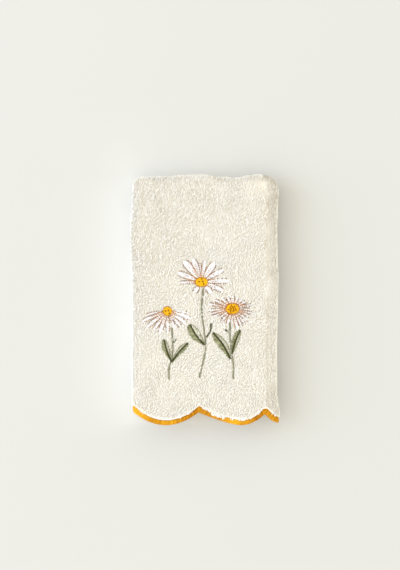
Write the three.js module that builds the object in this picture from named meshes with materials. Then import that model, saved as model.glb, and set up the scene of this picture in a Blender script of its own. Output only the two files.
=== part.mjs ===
// A terry hand towel, folded in three across its width and in three along its length, face up.
//
// Millimetres, +Z up. X runs across the folded towel and Y along it. The scalloped hem faces -Y,
// the closed fold faces +Y, and the towel lies on the plane Z = 0.
//
// The cloth is one sheet, so every point of it is named by three lengths:
//   across  round the side folds, measured from the tip of the left fold
//   along   down the folded stack, measured from the foremost line of the hem
//   lift    out of the sheet, measured from its middle towards its face
import * as THREE from 'three';

// The cloth as it is cut
const CUT_WIDTH = 500;
const TERRY_THICKNESS = 3.0;

// The folded towel
const FOLDED_WIDTH = 172;
const HEM_Y = -148;
const CLOSED_FOLD_Y = 147.5;
const FRONT_FOLD_Y = -125.5;
const PLAIN_END_Y = 139;
const LAYER_GAP = 0.4;
const PASS_GAP = 0.5;
const LAYERS = 3;
const PASSES = 3;

// The scalloped edge, worked in satin stitch
const LOBE_PITCH = 77.5;
const EDGING_WIDTH = 5.4;
const EDGING_THICKNESS = 2.6;
const NOTCH_FILL = { depth: 1.2, reach: 6 };
const PIECE_GAP = 0.48;

// Lobes are numbered from the left fold. notch is how far the notch before the lobe lies behind the
// foremost line of the hem, low is where along the lobe its foremost point is, and near and far are
// the powers by which its two sides rise.
const EVEN_LOBE = { notch: 15.7, low: 0.5, near: 2, far: 2 };
const UNEVEN_LOBES = new Map([
  [1, { notch: 15.2, low: 0.64, near: 1.4, far: 2 }],
  [2, { notch: 13.1, low: 0.5, near: 3, far: 2 }],
]);

// How far the hidden panels' hems lie behind the front panel's, and over what stretch they fall back
const TUCKED_PANEL = { back: 6.5, over: 90 };
const UNDER_PANEL = { back: 26, over: 35 };

// How the folds stray from straight lines: the side folds along Y, the closed and front folds along X,
// each outwards from the towel's middle
const SIDE_FOLDS = [
  { y: 150, left: -3.0, right: -9.0 },
  { y: 142, left: -0.5, right: -3.5 },
  { y: 131, left: 0.2, right: 0.3 },
  { y: 108, left: 0.9, right: -1.0 },
  { y: 84, left: 2.9, right: -2.2 },
  { y: 48, left: 1.8, right: -1.2 },
  { y: 28, left: 0.6, right: 0.1 },
  { y: -8, left: 0.0, right: -1.0 },
  { y: -60, left: 0.2, right: -2.6 },
  { y: -112, left: 0.6, right: -2.2 },
  { y: -132, left: 0.4, right: 1.6 },
  { y: -148, left: 0.0, right: 1.8 },
];
const CLOSED_FOLD = [
  { x: -86, out: -4.5 },
  { x: -78, out: -2.0 },
  { x: -48, out: -1.3 },
  { x: -22, out: 0.6 },
  { x: -2, out: 1.2 },
  { x: 15, out: -1.7 },
  { x: 40, out: -2.5 },
  { x: 54, out: 0.1 },
  { x: 66, out: 1.2 },
  { x: 76, out: 0.5 },
  { x: 86, out: -2.5 },
];
const FRONT_FOLD = [
  { x: -86, out: -2.5 },
  { x: -60, out: 0.4 },
  { x: -20, out: -0.8 },
  { x: 25, out: 0.8 },
  { x: 62, out: -0.4 },
  { x: 86, out: -2.2 },
];

// Soft hollows and swellings of the top face, each an oval hump with its middle, its reach and its rise
const RELIEF = [
  { x: 0, y: 62, reachX: 10, reachY: 70, rise: -1.3 },
  { x: 36, y: -14, reachX: 24, reachY: 85, rise: 1.1 },
  { x: -52, y: 88, reachX: 22, reachY: 38, rise: -0.7 },
  { x: -44, y: -70, reachX: 24, reachY: 46, rise: 0.6 },
  { x: 68, y: 132, reachX: 8, reachY: 11, rise: -1.8 },
  { x: 75, y: 62, reachX: 5, reachY: 60, rise: -0.9 },
];

// How far the top face falls away at its borders, and over what breadth
const SHOULDERS = {
  left: { fall: 1.7, over: 9 },
  right: { fall: 2.8, over: 12 },
  closedFold: { fall: 1.6, over: 13 },
  hem: { fall: 2.6, over: 44 },
};

// Lower passes are drawn in by this share, and the stack leans to and fro by this much
const DRAWN_IN = 0.012;
const STACK_SWAY = 0.9;
const LOWER_SIDES_SHARE = 0.55;

// Sizes of the mesh steps
const FRONT_PANEL_STEP = 7.8;
const HIDDEN_PANEL_STEP = 13.2;
const TOP_PASS_STEP = 29;
const HIDDEN_PASS_STEP = 43;
const SIDE_TURN_STEPS = 6;
const STACK_TURN_STEPS = 7;

// Rows this near the hem follow the scallops, and the rows behind them run straight across
const HEM_ZONE = 85.4;
const HEM_ROWS = 5;

// Worked out from the sizes above
const LAYER_PITCH = TERRY_THICKNESS + LAYER_GAP;
const STRIP_HEIGHT = LAYERS * TERRY_THICKNESS + (LAYERS - 1) * LAYER_GAP;
const PASS_PITCH = STRIP_HEIGHT + PASS_GAP;
const STACK_HEIGHT = PASSES * STRIP_HEIGHT + (PASSES - 1) * PASS_GAP;
const HALF_WIDTH = FOLDED_WIDTH / 2;
const HALF_LENGTH = (CLOSED_FOLD_Y - HEM_Y) / 2;
const LEFT_TURN_RADIUS = LAYER_PITCH / 2;
const RIGHT_TURN_RADIUS = LAYER_PITCH;
const STACK_TURN_RADIUS = PASS_PITCH / 2;
const STACK_TURN_REACH = STACK_TURN_RADIUS + STRIP_HEIGHT / 2;

/** A line of straight runs and round turns that is read by the distance along it. */
class FoldedLine {
  constructor(start, heading) {
    this.pieces = [];
    this.end = { at: 0, point: start.clone(), heading };
  }

  /** Adds a piece of this length that turns by this angle, anticlockwise, in this many mesh steps. */
  add(length, turn, steps) {
    const piece = { ...this.end, length, turn, steps };
    this.pieces.push(piece);
    const { point, heading } = this.onPiece(piece, length);
    this.end = { at: piece.at + length, point, heading };
    return this;
  }

  run(length, step) {
    return this.add(length, 0, Math.ceil(length / step));
  }

  turn(radius, angle, steps) {
    return this.add(radius * Math.abs(angle), angle, steps);
  }

  onPiece(piece, distance) {
    const heading = piece.heading + piece.turn * (distance / piece.length);
    const middle = (piece.heading + heading) / 2;
    const half = (heading - piece.heading) / 2;
    const chord = distance * (half === 0 ? 1 : Math.sin(half) / half);
    const point = new THREE.Vector2(Math.cos(middle), Math.sin(middle)).multiplyScalar(chord);
    return { point: point.add(piece.point), heading };
  }

  /** The point at a distance along the line, moved sideways by lift, to the left of its heading. */
  pointAt(distance, lift) {
    const piece = this.pieces.findLast((each) => each.at <= distance) ?? this.pieces[0];
    const { point, heading } = this.onPiece(piece, distance - piece.at);
    return point.add(new THREE.Vector2(-Math.sin(heading), Math.cos(heading)).multiplyScalar(lift));
  }

  /** Distances of the mesh stations, with the extra ones that must not be missed. */
  stations(extra = []) {
    const found = [];
    for (const { at, length, steps } of this.pieces) {
      const inside = extra.filter((each) => each > at + 1 && each < at + length - 1);
      const stops = [at, ...inside, at + length];
      for (let i = 1; i < stops.length; i += 1) {
        const stretch = stops[i] - stops[i - 1];
        const parts = Math.max(1, Math.round((steps * stretch) / length));
        for (let part = 0; part < parts; part += 1) {
          found.push(stops[i - 1] + (stretch * part) / parts);
        }
      }
    }
    return [...found, this.end.at];
  }
}

/** 0 before the start of a stretch, 1 after its end, and a soft rise between. */
function softStep(share) {
  return THREE.MathUtils.smoothstep(share, 0, 1);
}

/** A table's column at a place, with soft steps from row to row. */
function readTable(table, key, column, place) {
  const rows = [...table].sort((one, other) => one[key] - other[key]);
  const above = rows.findIndex((row) => row[key] >= place);
  if (above === 0) return rows[0][column];
  if (above < 0) return rows.at(-1)[column];
  const low = rows[above - 1];
  const high = rows[above];
  const share = softStep((place - low[key]) / (high[key] - low[key]));
  return THREE.MathUtils.lerp(low[column], high[column], share);
}

// The section through the side folds: the tucked panel, the front panel and the panel under both
const frontPanelWidth = FOLDED_WIDTH - LEFT_TURN_RADIUS - RIGHT_TURN_RADIUS - TERRY_THICKNESS;
const sideTurns = Math.PI * (LEFT_TURN_RADIUS + RIGHT_TURN_RADIUS);
const hiddenPanelWidth = (CUT_WIDTH - frontPanelWidth - sideTurns) / 2;
const leftTurnX = -HALF_WIDTH + LEFT_TURN_RADIUS + TERRY_THICKNESS / 2;
const section = new FoldedLine(new THREE.Vector2(leftTurnX + hiddenPanelWidth, 0), Math.PI)
  .run(hiddenPanelWidth, HIDDEN_PANEL_STEP)
  .turn(LEFT_TURN_RADIUS, -Math.PI, SIDE_TURN_STEPS)
  .run(frontPanelWidth, FRONT_PANEL_STEP)
  .turn(RIGHT_TURN_RADIUS, -Math.PI, SIDE_TURN_STEPS)
  .run(hiddenPanelWidth, HIDDEN_PANEL_STEP);
const leftFoldTip = hiddenPanelWidth + (Math.PI * LEFT_TURN_RADIUS) / 2;
const rightFoldTip = frontPanelWidth + sideTurns / 2;

// The stack: the top pass from the hem to the closed fold, then back to the front fold, then the
// lowest pass, which ends in a plain hem under the closed fold
const closedTurnY = CLOSED_FOLD_Y - STACK_TURN_REACH;
const frontTurnY = FRONT_FOLD_Y + STACK_TURN_REACH;
const topPassHeight = STRIP_HEIGHT / 2 + (PASSES - 1) * PASS_PITCH;
const stack = new FoldedLine(new THREE.Vector2(HEM_Y, topPassHeight), 0)
  .run(closedTurnY - HEM_Y, TOP_PASS_STEP)
  .turn(STACK_TURN_RADIUS, -Math.PI, STACK_TURN_STEPS)
  .run(closedTurnY - frontTurnY, HIDDEN_PASS_STEP)
  .turn(STACK_TURN_RADIUS, Math.PI, STACK_TURN_STEPS)
  .run(PLAIN_END_Y - frontTurnY, HIDDEN_PASS_STEP);

/** Moves a point of the neatly folded towel to where the real, uneven folds hold it. */
function settle(point) {
  const level = point.z / STACK_HEIGHT;
  const side = point.x < 0 ? 'left' : 'right';
  const outwards = Math.sign(point.x);
  const sideShare = (point.x / HALF_WIDTH) ** 2 * THREE.MathUtils.lerp(LOWER_SIDES_SHARE, 1, level);
  const endShare = (point.y / HALF_LENGTH) ** 2;
  let x = point.x * (1 - DRAWN_IN * (1 - level)) + STACK_SWAY * Math.sin(2 * Math.PI * level);
  x += outwards * sideShare * readTable(SIDE_FOLDS, 'y', side, point.y);
  let y = point.y;
  if (y > 0) {
    y += endShare * readTable(CLOSED_FOLD, 'x', 'out', point.x);
  } else {
    y -= endShare * (1 - level) * readTable(FRONT_FOLD, 'x', 'out', point.x);
  }
  return new THREE.Vector3(x, y, point.z + level * topFaceRise(point, side));
}

/** How far the top face lies above a level one, at this place and side of the towel. */
function topFaceRise(point, side) {
  let rise = 0;
  for (const hump of RELIEF) {
    const distance = ((point.x - hump.x) / hump.reachX) ** 2 + ((point.y - hump.y) / hump.reachY) ** 2;
    rise += hump.rise * Math.exp(-distance);
  }
  const inset = {
    [side]: HALF_WIDTH - Math.abs(point.x),
    closedFold: CLOSED_FOLD_Y - point.y,
    hem: point.y - HEM_Y,
  };
  for (const [border, depth] of Object.entries(inset)) {
    const { fall, over } = SHOULDERS[border];
    rise -= fall * softStep(1 - depth / over) ** 2;
  }
  return rise;
}

/** A point of the towel, from its lengths across, along and out of the sheet. */
function place(across, along, lift) {
  const flat = section.pointAt(across + leftFoldTip, lift);
  const folded = stack.pointAt(along, flat.y);
  return settle(new THREE.Vector3(flat.x, folded.x, folded.y));
}

/** How far the scallops' outline lies behind the foremost line of the hem. */
function scallop(across) {
  const number = Math.floor(across / LOBE_PITCH);
  const lobe = UNEVEN_LOBES.get(number) ?? EVEN_LOBE;
  const next = UNEVEN_LOBES.get(number + 1) ?? EVEN_LOBE;
  const share = across / LOBE_PITCH - number;
  if (share < lobe.low) return lobe.notch * (1 - share / lobe.low) ** lobe.near;
  return next.notch * ((share - lobe.low) / (1 - lobe.low)) ** lobe.far;
}

/** Where the satin stitching starts and ends and the cloth begins, at a place across the cloth. */
function edgingSpan(across) {
  const probe = 0.5;
  const slope =
    (Math.abs(scallop(across + probe) - scallop(across)) +
      Math.abs(scallop(across) - scallop(across - probe))) / (2 * probe);
  const toNotch = across - Math.round(across / LOBE_PITCH) * LOBE_PITCH;
  const fill = NOTCH_FILL.depth * Math.exp(-((toNotch / NOTCH_FILL.reach) ** 2));
  const back =
    TUCKED_PANEL.back * softStep(-across / TUCKED_PANEL.over) +
    UNDER_PANEL.back * softStep((across - rightFoldTip) / UNDER_PANEL.over);
  const outer = scallop(across) + back;
  const inner = outer + EDGING_WIDTH * Math.hypot(1, slope) + fill;
  return { outer, inner, cloth: inner + PIECE_GAP * Math.hypot(1, slope) };
}

/** A closed solid through rings of points that pair up, first with last, at its two ends. */
function solidThrough(rings) {
  const count = rings[0].length;
  const triangles = [];
  const quad = (a, b, c, d) => triangles.push(a, b, c, a, c, d);
  for (let ring = 0; ring < rings.length - 1; ring += 1) {
    const here = ring * count;
    const there = here + count;
    for (let k = 0; k < count; k += 1) {
      const next = (k + 1) % count;
      quad(here + k, there + k, there + next, here + next);
    }
  }
  const last = (rings.length - 1) * count;
  for (let k = 0; k < count / 2 - 1; k += 1) {
    const across = count - 1 - k;
    quad(k, k + 1, across - 1, across);
    quad(last + k, last + across, last + across - 1, last + k + 1);
  }
  const geometry = new THREE.BufferGeometry().setFromPoints(rings.flat());
  geometry.setIndex(triangles);
  geometry.computeVertexNormals();
  return geometry;
}

// Both pieces are built on the same stations across, so that they follow each other at the hem. The
// notches are among them, and one station beside the left fold, where the hem bends most.
const hemStops = [-2, -1, -0.1, 0, 1, 2, 3, 4].map((lobes) => lobes * LOBE_PITCH + leftFoldTip);
const acrossStations = section.stations(hemStops).map((distance) => distance - leftFoldTip);

/** The terry cloth: one sheet, with both skins of every layer. */
function makeCloth() {
  const levelRows = stack.stations([HEM_ZONE]).filter((along) => along >= HEM_ZONE);
  const halfThickness = TERRY_THICKNESS / 2;
  const rings = acrossStations.map((across) => {
    const edge = edgingSpan(across).cloth;
    const rows = [];
    for (let row = 0; row < HEM_ROWS; row += 1) {
      rows.push(THREE.MathUtils.lerp(edge, HEM_ZONE, row / HEM_ROWS));
    }
    rows.push(...levelRows);
    const face = rows.map((along) => place(across, along, halfThickness));
    const back = rows.map((along) => place(across, along, -halfThickness));
    return [...face, ...back.reverse()];
  });
  return solidThrough(rings);
}

/** The satin-stitched edging: a flat, rounded band that follows the scallops. */
function makeEdging() {
  const profile = [
    { share: 0, lift: 0.4 },
    { share: 0.2, lift: 1 },
    { share: 0.8, lift: 1 },
    { share: 1, lift: 0.4 },
  ];
  const rings = acrossStations.map((across) => {
    const { outer, inner } = edgingSpan(across);
    const half = profile.map(({ share, lift }) => ({
      along: THREE.MathUtils.lerp(outer, inner, share),
      lift: (lift * EDGING_THICKNESS) / 2,
    }));
    const face = half.map((spot) => place(across, spot.along, spot.lift));
    const back = half.map((spot) => place(across, spot.along, -spot.lift));
    return [...face, ...back.reverse()];
  });
  return solidThrough(rings);
}

const terryCotton = new THREE.MeshStandardMaterial({
  name: 'cream cotton terry',
  color: 0xf2eee2,
  roughness: 0.95,
  metalness: 0,
});
const satinThread = new THREE.MeshStandardMaterial({
  name: 'mustard satin thread',
  color: 0xd7911e,
  roughness: 0.45,
  metalness: 0,
});

const cloth = new THREE.Mesh(makeCloth(), terryCotton);
cloth.name = 'terry_cloth';
const edging = new THREE.Mesh(makeEdging(), satinThread);
edging.name = 'scalloped_edging';

// The origin is under the middle of the folded towel
const towel = new THREE.Group();
towel.name = 'hand_towel';
towel.add(cloth, edging);
const box = new THREE.Box3().setFromObject(towel);
const middle = box.getCenter(new THREE.Vector3());
towel.position.set(-middle.x, -middle.y, -box.min.z);
towel.updateMatrixWorld(true);

export default towel;
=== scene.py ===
"""A folded terry hand towel with a scalloped, satin-stitched hem and three embroidered daisies.

The cloth keeps the folds of its solid. A place on it is named by three lengths in millimetres:
across, round the side folds from the tip of the left one; along, down the folded stack from the
foremost line of the hem; and lift, out of the sheet from its middle towards its face. Everything
sewn to the cloth, and its pile, is laid out in these lengths and then carried to its folded place.
"""

from __future__ import annotations

import logging
import math
from dataclasses import dataclass, field, replace
from enum import Enum
from typing import ClassVar

import bmesh
import bpy
import numpy as np
from mathutils import Matrix, Vector


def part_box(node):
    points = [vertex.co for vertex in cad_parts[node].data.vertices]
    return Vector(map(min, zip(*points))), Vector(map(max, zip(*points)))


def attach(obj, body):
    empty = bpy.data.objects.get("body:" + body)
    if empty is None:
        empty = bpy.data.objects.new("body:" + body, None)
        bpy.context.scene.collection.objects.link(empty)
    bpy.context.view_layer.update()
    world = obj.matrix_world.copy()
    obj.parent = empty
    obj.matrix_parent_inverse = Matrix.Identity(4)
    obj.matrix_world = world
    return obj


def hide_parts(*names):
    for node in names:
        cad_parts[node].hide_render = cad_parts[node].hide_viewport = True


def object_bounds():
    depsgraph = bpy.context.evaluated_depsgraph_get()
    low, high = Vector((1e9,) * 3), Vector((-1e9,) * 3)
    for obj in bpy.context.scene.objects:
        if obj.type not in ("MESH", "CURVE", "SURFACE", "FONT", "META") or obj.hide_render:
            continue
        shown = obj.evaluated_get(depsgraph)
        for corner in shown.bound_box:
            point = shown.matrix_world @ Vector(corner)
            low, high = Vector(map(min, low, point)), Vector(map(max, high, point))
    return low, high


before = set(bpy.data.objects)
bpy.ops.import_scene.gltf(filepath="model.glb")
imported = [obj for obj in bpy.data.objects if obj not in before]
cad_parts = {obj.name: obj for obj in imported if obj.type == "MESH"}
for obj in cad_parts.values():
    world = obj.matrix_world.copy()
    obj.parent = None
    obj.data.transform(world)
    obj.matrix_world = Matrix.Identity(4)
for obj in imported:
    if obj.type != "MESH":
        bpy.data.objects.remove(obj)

LOG = logging.getLogger("hand_towel")
MM = 0.001
BODY = "root"
CAD_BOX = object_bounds()

Array = np.ndarray
Colour = tuple[float, float, float]


def soft_step(share: Array | float) -> Array | float:
    """0 before the start of a stretch, 1 after its end, and a soft rise between."""
    share = np.clip(share, 0.0, 1.0)
    return share * share * (3.0 - 2.0 * share)


def mix(low: Array | float, high: Array | float, share: Array | float) -> Array | float:
    """The value that lies this share of the way from low to high."""
    return low + (high - low) * share


def bell(distance: Array, reach: float) -> Array:
    """1 in the middle, and less and less with distance, by the measure of reach."""
    return np.exp(-((distance / reach) ** 2))


def unit(vectors: Array) -> Array:
    """The vectors, each made 1 long."""
    return vectors / np.maximum(np.linalg.norm(vectors, axis=-1, keepdims=True), 1e-12)


def distances(line: Array) -> Array:
    """How far along a line each of its points lies from its start."""
    return np.concatenate([[0.0], np.cumsum(np.linalg.norm(np.diff(line, axis=0), axis=1))])


def point_on(line: Array, way: Array, place: float) -> Array:
    """The point at a place of a flat line, where way gives the places of the line's own points."""
    return np.array([np.interp(place, way, line[:, column]) for column in (0, 1)])


class SoftTable:
    """A short table of places and values, read with soft steps from row to row."""

    def __init__(self, *rows: tuple[float, float]) -> None:
        """Sorts the table.

        Args:
            rows: pairs of a place and its value, in any order.
        """
        ordered = sorted(rows)
        self.places = np.array([row[0] for row in ordered], dtype=float)
        self.values = np.array([row[1] for row in ordered], dtype=float)

    def __call__(self, place: Array) -> Array:
        """Reads the table.

        Args:
            place: the places.

        Returns:
            The table's values there, held level beyond its ends.
        """
        above = np.clip(np.searchsorted(self.places, place), 1, len(self.places) - 1)
        start, end = self.places[above - 1], self.places[above]
        share = soft_step((place - start) / (end - start))
        return mix(self.values[above - 1], self.values[above], share)


class FoldedLine:
    """A line of straight runs and round turns that is read by the distance along it."""

    def __init__(self, x: float, y: float, heading: float) -> None:
        """Starts the line at x and y, with its first direction in radians."""
        self.rows: list[tuple[float, float, float, float, float, float]] = []
        self.end = (0.0, x, y, heading)

    def run(self, length: float) -> FoldedLine:
        """Adds a straight run of this length."""
        return self._add(length, 0.0)

    def turn(self, radius: float, angle: float) -> FoldedLine:
        """Adds a round turn of this radius by this angle, anticlockwise."""
        return self._add(radius * abs(angle), angle)

    def _add(self, length: float, turn: float) -> FoldedLine:
        """Adds a piece and moves the line's end to its far side.

        Args:
            length: the piece's length.
            turn: the angle by which it turns.

        Returns:
            This line, so that pieces can be chained.
        """
        at, x, y, heading = self.end
        self.rows.append((at, x, y, heading, length, turn))
        dx, dy, heading = self._on_piece(heading, turn, length, length)
        self.end = (at + length, x + float(dx), y + float(dy), float(heading))
        return self

    @staticmethod
    def _on_piece(start: Array, turn: Array, length: Array, distance: Array) -> tuple[Array, Array, Array]:
        """Follows a piece from its start.

        Args:
            start: the piece's first direction.
            turn, length: the angle by which it turns, and its length.
            distance: the distance along it.

        Returns:
            The way to the right, the way up and the heading there.
        """
        heading = start + turn * distance / length
        half = (heading - start) / 2
        chord = distance * np.sinc(half / np.pi)
        middle = (start + heading) / 2
        return chord * np.cos(middle), chord * np.sin(middle), heading

    def point_at(self, distance: Array, lift: Array) -> tuple[Array, Array]:
        """Finds points on the line or beside it.

        Args:
            distance: distances along the line.
            lift: the way sideways from it, to the left of its heading.

        Returns:
            The points' two coordinates.
        """
        rows = np.array(self.rows)
        index = np.clip(np.searchsorted(rows[:, 0], distance, side="right") - 1, 0, len(rows) - 1)
        at, x, y, start, length, turn = (rows[index, column] for column in range(6))
        dx, dy, heading = self._on_piece(start, turn, length, distance - at)
        return x + dx - np.sin(heading) * lift, y + dy + np.cos(heading) * lift

    def starts(self) -> list[float]:
        """Where each piece starts, and where the last one ends."""
        return [row[0] for row in self.rows] + [self.end[0]]


@dataclass(frozen=True)
class Lobe:
    """One scallop: the notch before it, its lowest place and how its two sides rise."""

    notch: float = 15.7
    low: float = 0.5
    near: float = 2.0
    far: float = 2.0


@dataclass(frozen=True)
class Hump:
    """A soft hollow or swelling of the top face."""

    x: float
    y: float
    reach_x: float
    reach_y: float
    rise: float

    def at(self, x: Array, y: Array) -> Array:
        """How high it is at these places."""
        distance = ((x - self.x) / self.reach_x) ** 2 + ((y - self.y) / self.reach_y) ** 2
        return self.rise * np.exp(-distance)


@dataclass
class TowelFolds:
    """The folded towel's sizes in millimetres, and where each place on the cloth lies in space."""

    cut_width: float = 500.0
    thickness: float = 3.0
    folded_width: float = 172.0
    hem_y: float = -148.0
    closed_fold_y: float = 147.5
    front_fold_y: float = -125.5
    plain_end_y: float = 139.0
    layer_gap: float = 0.4
    pass_gap: float = 0.5
    layers: int = 3
    passes: int = 3
    lobe_pitch: float = 77.5
    edging_width: float = 5.4
    edging_thickness: float = 2.6
    notch_fill_depth: float = 1.2
    notch_fill_reach: float = 6.0
    piece_gap: float = 0.48
    tucked_back: float = 6.5
    tucked_over: float = 90.0
    under_back: float = 26.0
    under_over: float = 35.0
    drawn_in: float = 0.012
    stack_sway: float = 0.9
    lower_sides_share: float = 0.55
    even_lobe: Lobe = Lobe()
    uneven_lobes: dict[int, Lobe] = field(
        default_factory=lambda: {
            1: Lobe(notch=15.2, low=0.64, near=1.4),
            2: Lobe(notch=13.1, near=3.0),
        }
    )
    left_fold: SoftTable = SoftTable(
        (150, -3.0), (142, -0.5), (131, 0.2), (108, 0.9), (84, 2.9), (48, 1.8),
        (28, 0.6), (-8, 0.0), (-60, 0.2), (-112, 0.6), (-132, 0.4), (-148, 0.0),
    )
    right_fold: SoftTable = SoftTable(
        (150, -9.0), (142, -3.5), (131, 0.3), (108, -1.0), (84, -2.2), (48, -1.2),
        (28, 0.1), (-8, -1.0), (-60, -2.6), (-112, -2.2), (-132, 1.6), (-148, 1.8),
    )
    closed_fold: SoftTable = SoftTable(
        (-86, -4.5), (-78, -2.0), (-48, -1.3), (-22, 0.6), (-2, 1.2), (15, -1.7),
        (40, -2.5), (54, 0.1), (66, 1.2), (76, 0.5), (86, -2.5),
    )
    front_fold: SoftTable = SoftTable(
        (-86, -2.5), (-60, 0.4), (-20, -0.8), (25, 0.8), (62, -0.4), (86, -2.2)
    )
    relief: tuple[Hump, ...] = (
        Hump(0, 62, 10, 70, -1.3),
        Hump(36, -14, 24, 85, 1.1),
        Hump(-52, 88, 22, 38, -0.7),
        Hump(-44, -70, 24, 46, 0.6),
        Hump(68, 132, 8, 11, -1.8),
        Hump(75, 62, 5, 60, -0.9),
    )
    left_shoulder: tuple[float, float] = (1.7, 9.0)
    right_shoulder: tuple[float, float] = (2.8, 12.0)
    closed_shoulder: tuple[float, float] = (1.6, 13.0)
    hem_shoulder: tuple[float, float] = (2.6, 44.0)

    def __post_init__(self) -> None:
        """Works out the section, the stack and the shift that puts the origin under the middle."""
        layer_pitch = self.thickness + self.layer_gap
        self.strip_height = self.layers * self.thickness + (self.layers - 1) * self.layer_gap
        pass_pitch = self.strip_height + self.pass_gap
        self.stack_height = self.passes * self.strip_height + (self.passes - 1) * self.pass_gap
        self.half_width = self.folded_width / 2
        self.half_length = (self.closed_fold_y - self.hem_y) / 2
        self._fold_across(layer_pitch)
        self._fold_along(pass_pitch)
        self.shift = np.zeros(3)

    def _fold_across(self, layer_pitch: float) -> None:
        """Lays the section through the side folds.

        Args:
            layer_pitch: the height from one layer to the next.
        """
        left_radius, right_radius = layer_pitch / 2, layer_pitch
        self.panel_width = self.folded_width - left_radius - right_radius - self.thickness
        turns = math.pi * (left_radius + right_radius)
        self.hidden_width = (self.cut_width - self.panel_width - turns) / 2
        self.left_turn_x = -self.half_width + left_radius + self.thickness / 2
        self.left_turn = math.pi * left_radius / 2
        self.right_turn = math.pi * right_radius / 2
        self.section = FoldedLine(self.left_turn_x + self.hidden_width, 0.0, math.pi)
        self.section.run(self.hidden_width).turn(left_radius, -math.pi).run(self.panel_width)
        self.section.turn(right_radius, -math.pi).run(self.hidden_width)
        self.left_tip = self.hidden_width + self.left_turn
        self.right_tip = self.left_turn + self.panel_width + self.right_turn

    def _fold_along(self, pass_pitch: float) -> None:
        """Lays the stack from the hem over the closed fold and the front fold to the plain end.

        Args:
            pass_pitch: the height from one pass to the next.
        """
        radius = pass_pitch / 2
        reach = radius + self.strip_height / 2
        closed_y, front_y = self.closed_fold_y - reach, self.front_fold_y + reach
        top = self.strip_height / 2 + (self.passes - 1) * pass_pitch
        self.stack = FoldedLine(self.hem_y, top, 0.0)
        self.stack.run(closed_y - self.hem_y).turn(radius, -math.pi).run(closed_y - front_y)
        self.stack.turn(radius, math.pi).run(self.plain_end_y - front_y)

    def settle(self, x: Array, y: Array, z: Array) -> tuple[Array, Array, Array]:
        """Moves points of the neatly folded towel to where the real, uneven folds hold them.

        Args:
            x, y, z: neat places.

        Returns:
            The settled places' three coordinates.
        """
        level = z / self.stack_height
        side_share = (x / self.half_width) ** 2 * mix(self.lower_sides_share, 1.0, level)
        end_share = (y / self.half_length) ** 2
        stray = np.where(x < 0, -self.left_fold(y), self.right_fold(y))
        moved_x = x * (1 - self.drawn_in * (1 - level)) + self.stack_sway * np.sin(2 * np.pi * level)
        moved_x = moved_x + side_share * stray
        back = end_share * self.closed_fold(x)
        front = -end_share * (1 - level) * self.front_fold(x)
        moved_y = y + np.where(y > 0, back, front)
        return moved_x, moved_y, z + level * self.top_rise(x, y)

    def top_rise(self, x: Array, y: Array) -> Array:
        """Models the hollows, swellings and shoulders of the top face.

        Args:
            x, y: neat places.

        Returns:
            The height above a level face, negative in hollows.
        """
        rise = sum(hump.at(x, y) for hump in self.relief)
        depth = self.half_width - np.abs(x)
        left = self._fall(self.left_shoulder, depth)
        right = self._fall(self.right_shoulder, depth)
        rise -= np.where(x < 0, left, right)
        rise -= self._fall(self.closed_shoulder, self.closed_fold_y - y)
        return rise - self._fall(self.hem_shoulder, y - self.hem_y)

    @staticmethod
    def _fall(shoulder: tuple[float, float], depth: Array) -> Array:
        """How far a border has fallen, this deep inside it."""
        fall, over = shoulder
        return fall * soft_step(1 - depth / over) ** 2

    def place(self, across: Array, along: Array, lift: Array) -> Array:
        """Carries places on the cloth to where they lie.

        Args:
            across, along: places on the cloth.
            lift: heights above the sheet's middle.

        Returns:
            The points, in metres, in the last axis of the array.
        """
        across, along, lift = np.broadcast_arrays(across, along, lift)
        x, height = self.section.point_at(across + self.left_tip, lift)
        y, z = self.stack.point_at(along, height)
        settled = np.stack(self.settle(x, y, z), axis=-1)
        return (settled + self.shift) * MM

    def fit_to(self, low: Vector, high: Vector, coarse: Array) -> None:
        """Shifts the folds so that the coarse sheet's box is centred on the solid's box.

        Args:
            low, high: the solid's lowest and highest corner, in metres.
            coarse: points of the unshifted sheet, in metres.
        """
        mine = (coarse.min(axis=0) + coarse.max(axis=0)) / 2
        theirs = (np.array(low) + np.array(high)) / 2
        self.shift = (theirs - mine) / MM
        self.shift[2] = 0.0

    def across_at(self, x: Array | float) -> Array | float:
        """The distance across for a place on the front panel, from its X on the neat towel."""
        return x - self.left_turn_x + self.left_turn

    def along_at(self, y: Array | float) -> Array | float:
        """The distance along for a place on the top pass, from its Y on the neat towel."""
        return y - self.hem_y

    def scallop(self, across: Array) -> Array:
        """Draws the scallops' outline.

        Args:
            across: distances from the left fold's tip.

        Returns:
            How far the outline lies behind the foremost line of the hem.
        """
        number = np.floor(across / self.lobe_pitch).astype(int)
        share = across / self.lobe_pitch - number
        outline = np.zeros_like(across)
        for each in np.unique(number):
            lobe = self.uneven_lobes.get(int(each), self.even_lobe)
            following = self.uneven_lobes.get(int(each) + 1, self.even_lobe)
            here = number == each
            rising = np.clip(1 - share[here] / lobe.low, 0, 1) ** lobe.near * lobe.notch
            falling = np.clip((share[here] - lobe.low) / (1 - lobe.low), 0, 1) ** lobe.far
            outline[here] = rising + falling * following.notch
        return outline

    def from_notch(self, across: Array) -> Array:
        """How far places lie beyond the nearest notch, negative before it."""
        return across - np.round(across / self.lobe_pitch) * self.lobe_pitch

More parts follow.
